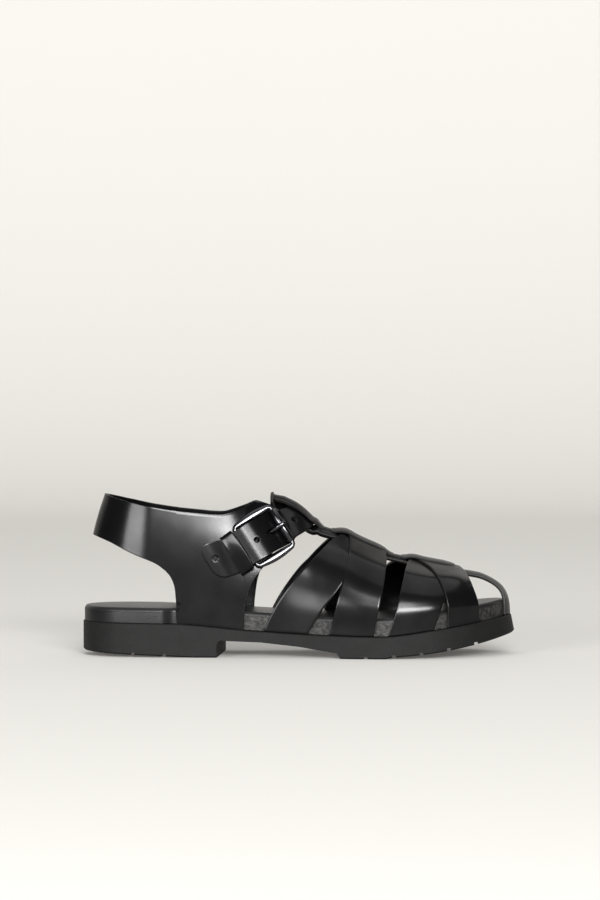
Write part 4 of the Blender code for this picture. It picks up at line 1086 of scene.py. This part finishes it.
# The stage: a pale floor that sweeps up into a backdrop, as a sheet of studio paper does.
# It is clear from behind, so that the shoe also shows from the back.
SWEEP_START = 1.7
SWEEP_ROUND = 0.9
FLOOR_FRONT = -1.9
FLOOR_HALF = 5.0
WALL_TOP = 3.0

paper = Finish("studio_paper", Roughness=0.9, Specular_IOR_Level=0.1, Emission_Strength=0.24)
paper_shade = paper.tint(paper.noise(3, 2), (0.500, 0.488, 0.464), (0.506, 0.494, 0.470))
paper.feed(Base_Color=paper_shade, Emission_Color=paper_shade)
paper_side = paper.node("ShaderNodeNewGeometry", output="Backfacing")
paper_mix = paper.node("ShaderNodeMixShader", None,
                       {"Fac": paper_side, 1: Value(paper, paper.shader.outputs["BSDF"]),
                        2: paper.node("ShaderNodeBsdfTransparent")})
paper.tree.links.new(paper_mix.socket, paper.tree.nodes["Material Output"].inputs["Surface"])
sweep = bmesh.new()
bmesh.ops.create_grid(sweep, x_segments=4, y_segments=40, size=0.5)
for vertex in sweep.verts:
    across, share = vertex.co.x * 2 * FLOOR_HALF, vertex.co.y + 0.5
    if share <= 0.25:
        back, high = FLOOR_FRONT + (SWEEP_START - FLOOR_FRONT) * share / 0.25, 0
    elif share <= 0.75:
        angle = (share - 0.25) / 0.5 * math.pi / 2
        back = SWEEP_START + SWEEP_ROUND * math.sin(angle)
        high = SWEEP_ROUND * (1 - math.cos(angle))
    else:
        back = SWEEP_START + SWEEP_ROUND
        high = SWEEP_ROUND + (WALL_TOP - SWEEP_ROUND) * (share - 0.75) / 0.25
    vertex.co = (across, back, high)
sweep_mesh = bpy.data.meshes.new("studio_paper")
sweep.to_mesh(sweep_mesh)
sweep.free()
sweep_mesh.shade_smooth()
sweep_mesh.materials.append(paper.material)
backdrop = bpy.data.objects.new("studio_paper", sweep_mesh)
bpy.context.scene.collection.objects.link(backdrop)


# The light: a big soft box overhead, a long strip and a box in front above the camera,
# and a box low on the left for the highlight on the heel strap.
world = bpy.data.worlds.new("studio_air")
bpy.context.scene.world = world
world.use_nodes = True
world.node_tree.nodes["Background"].inputs["Color"].default_value = (0.86, 0.88, 0.92, 1)
world.node_tree.nodes["Background"].inputs["Strength"].default_value = 0.13
for name, place, aim, width, height, power in (
        ("overhead_box", (0.0, 0.1, 3.2), (0.0, 0.0, 0.0), 3.5, 3.5, 51),
        ("front_strip", (0.90, -5.7, 1.72), (0.0, 0.0, 0.05), 3.0, 0.95, 480),
        ("front_box", (0.50, -5.25, 2.93), (0.0, 0.0, 0.05), 2.2, 1.4, 170),
        ("left_box", (-2.15, -3.30, 0.75), (0.0, 0.0, 0.05), 1.9, 1.1, 130)):
    light = bpy.data.lights.new(name, "AREA")
    light.shape = "RECTANGLE"
    light.size = width
    light.size_y = height
    light.energy = power
    lamp = bpy.data.objects.new(name, light)
    lamp.location = place
    lamp.rotation_euler = (Vector(aim) - Vector(place)).to_track_quat("-Z", "Y").to_euler()
    bpy.context.scene.collection.objects.link(lamp)


# The camera stands low and far off, level with the outer side, as in the photograph.
CAMERA_DISTANCE = 3.1
CAMERA_HEIGHT = 0.236
AIM = Vector((0.0006, 0.0, 0.1268))
camera_data = bpy.data.cameras.new("camera")
camera_data.sensor_width = 36
camera_data.lens = 199.8
camera = bpy.data.objects.new("camera", camera_data)
camera.location = (AIM.x, -CAMERA_DISTANCE, CAMERA_HEIGHT)
camera.rotation_euler = (AIM - camera.location).to_track_quat("-Z", "Y").to_euler()
bpy.context.scene.collection.objects.link(camera)
bpy.context.scene.camera = camera
bpy.context.scene.view_settings.view_transform = "Standard"
bpy.context.scene.view_settings.gamma = 0.9
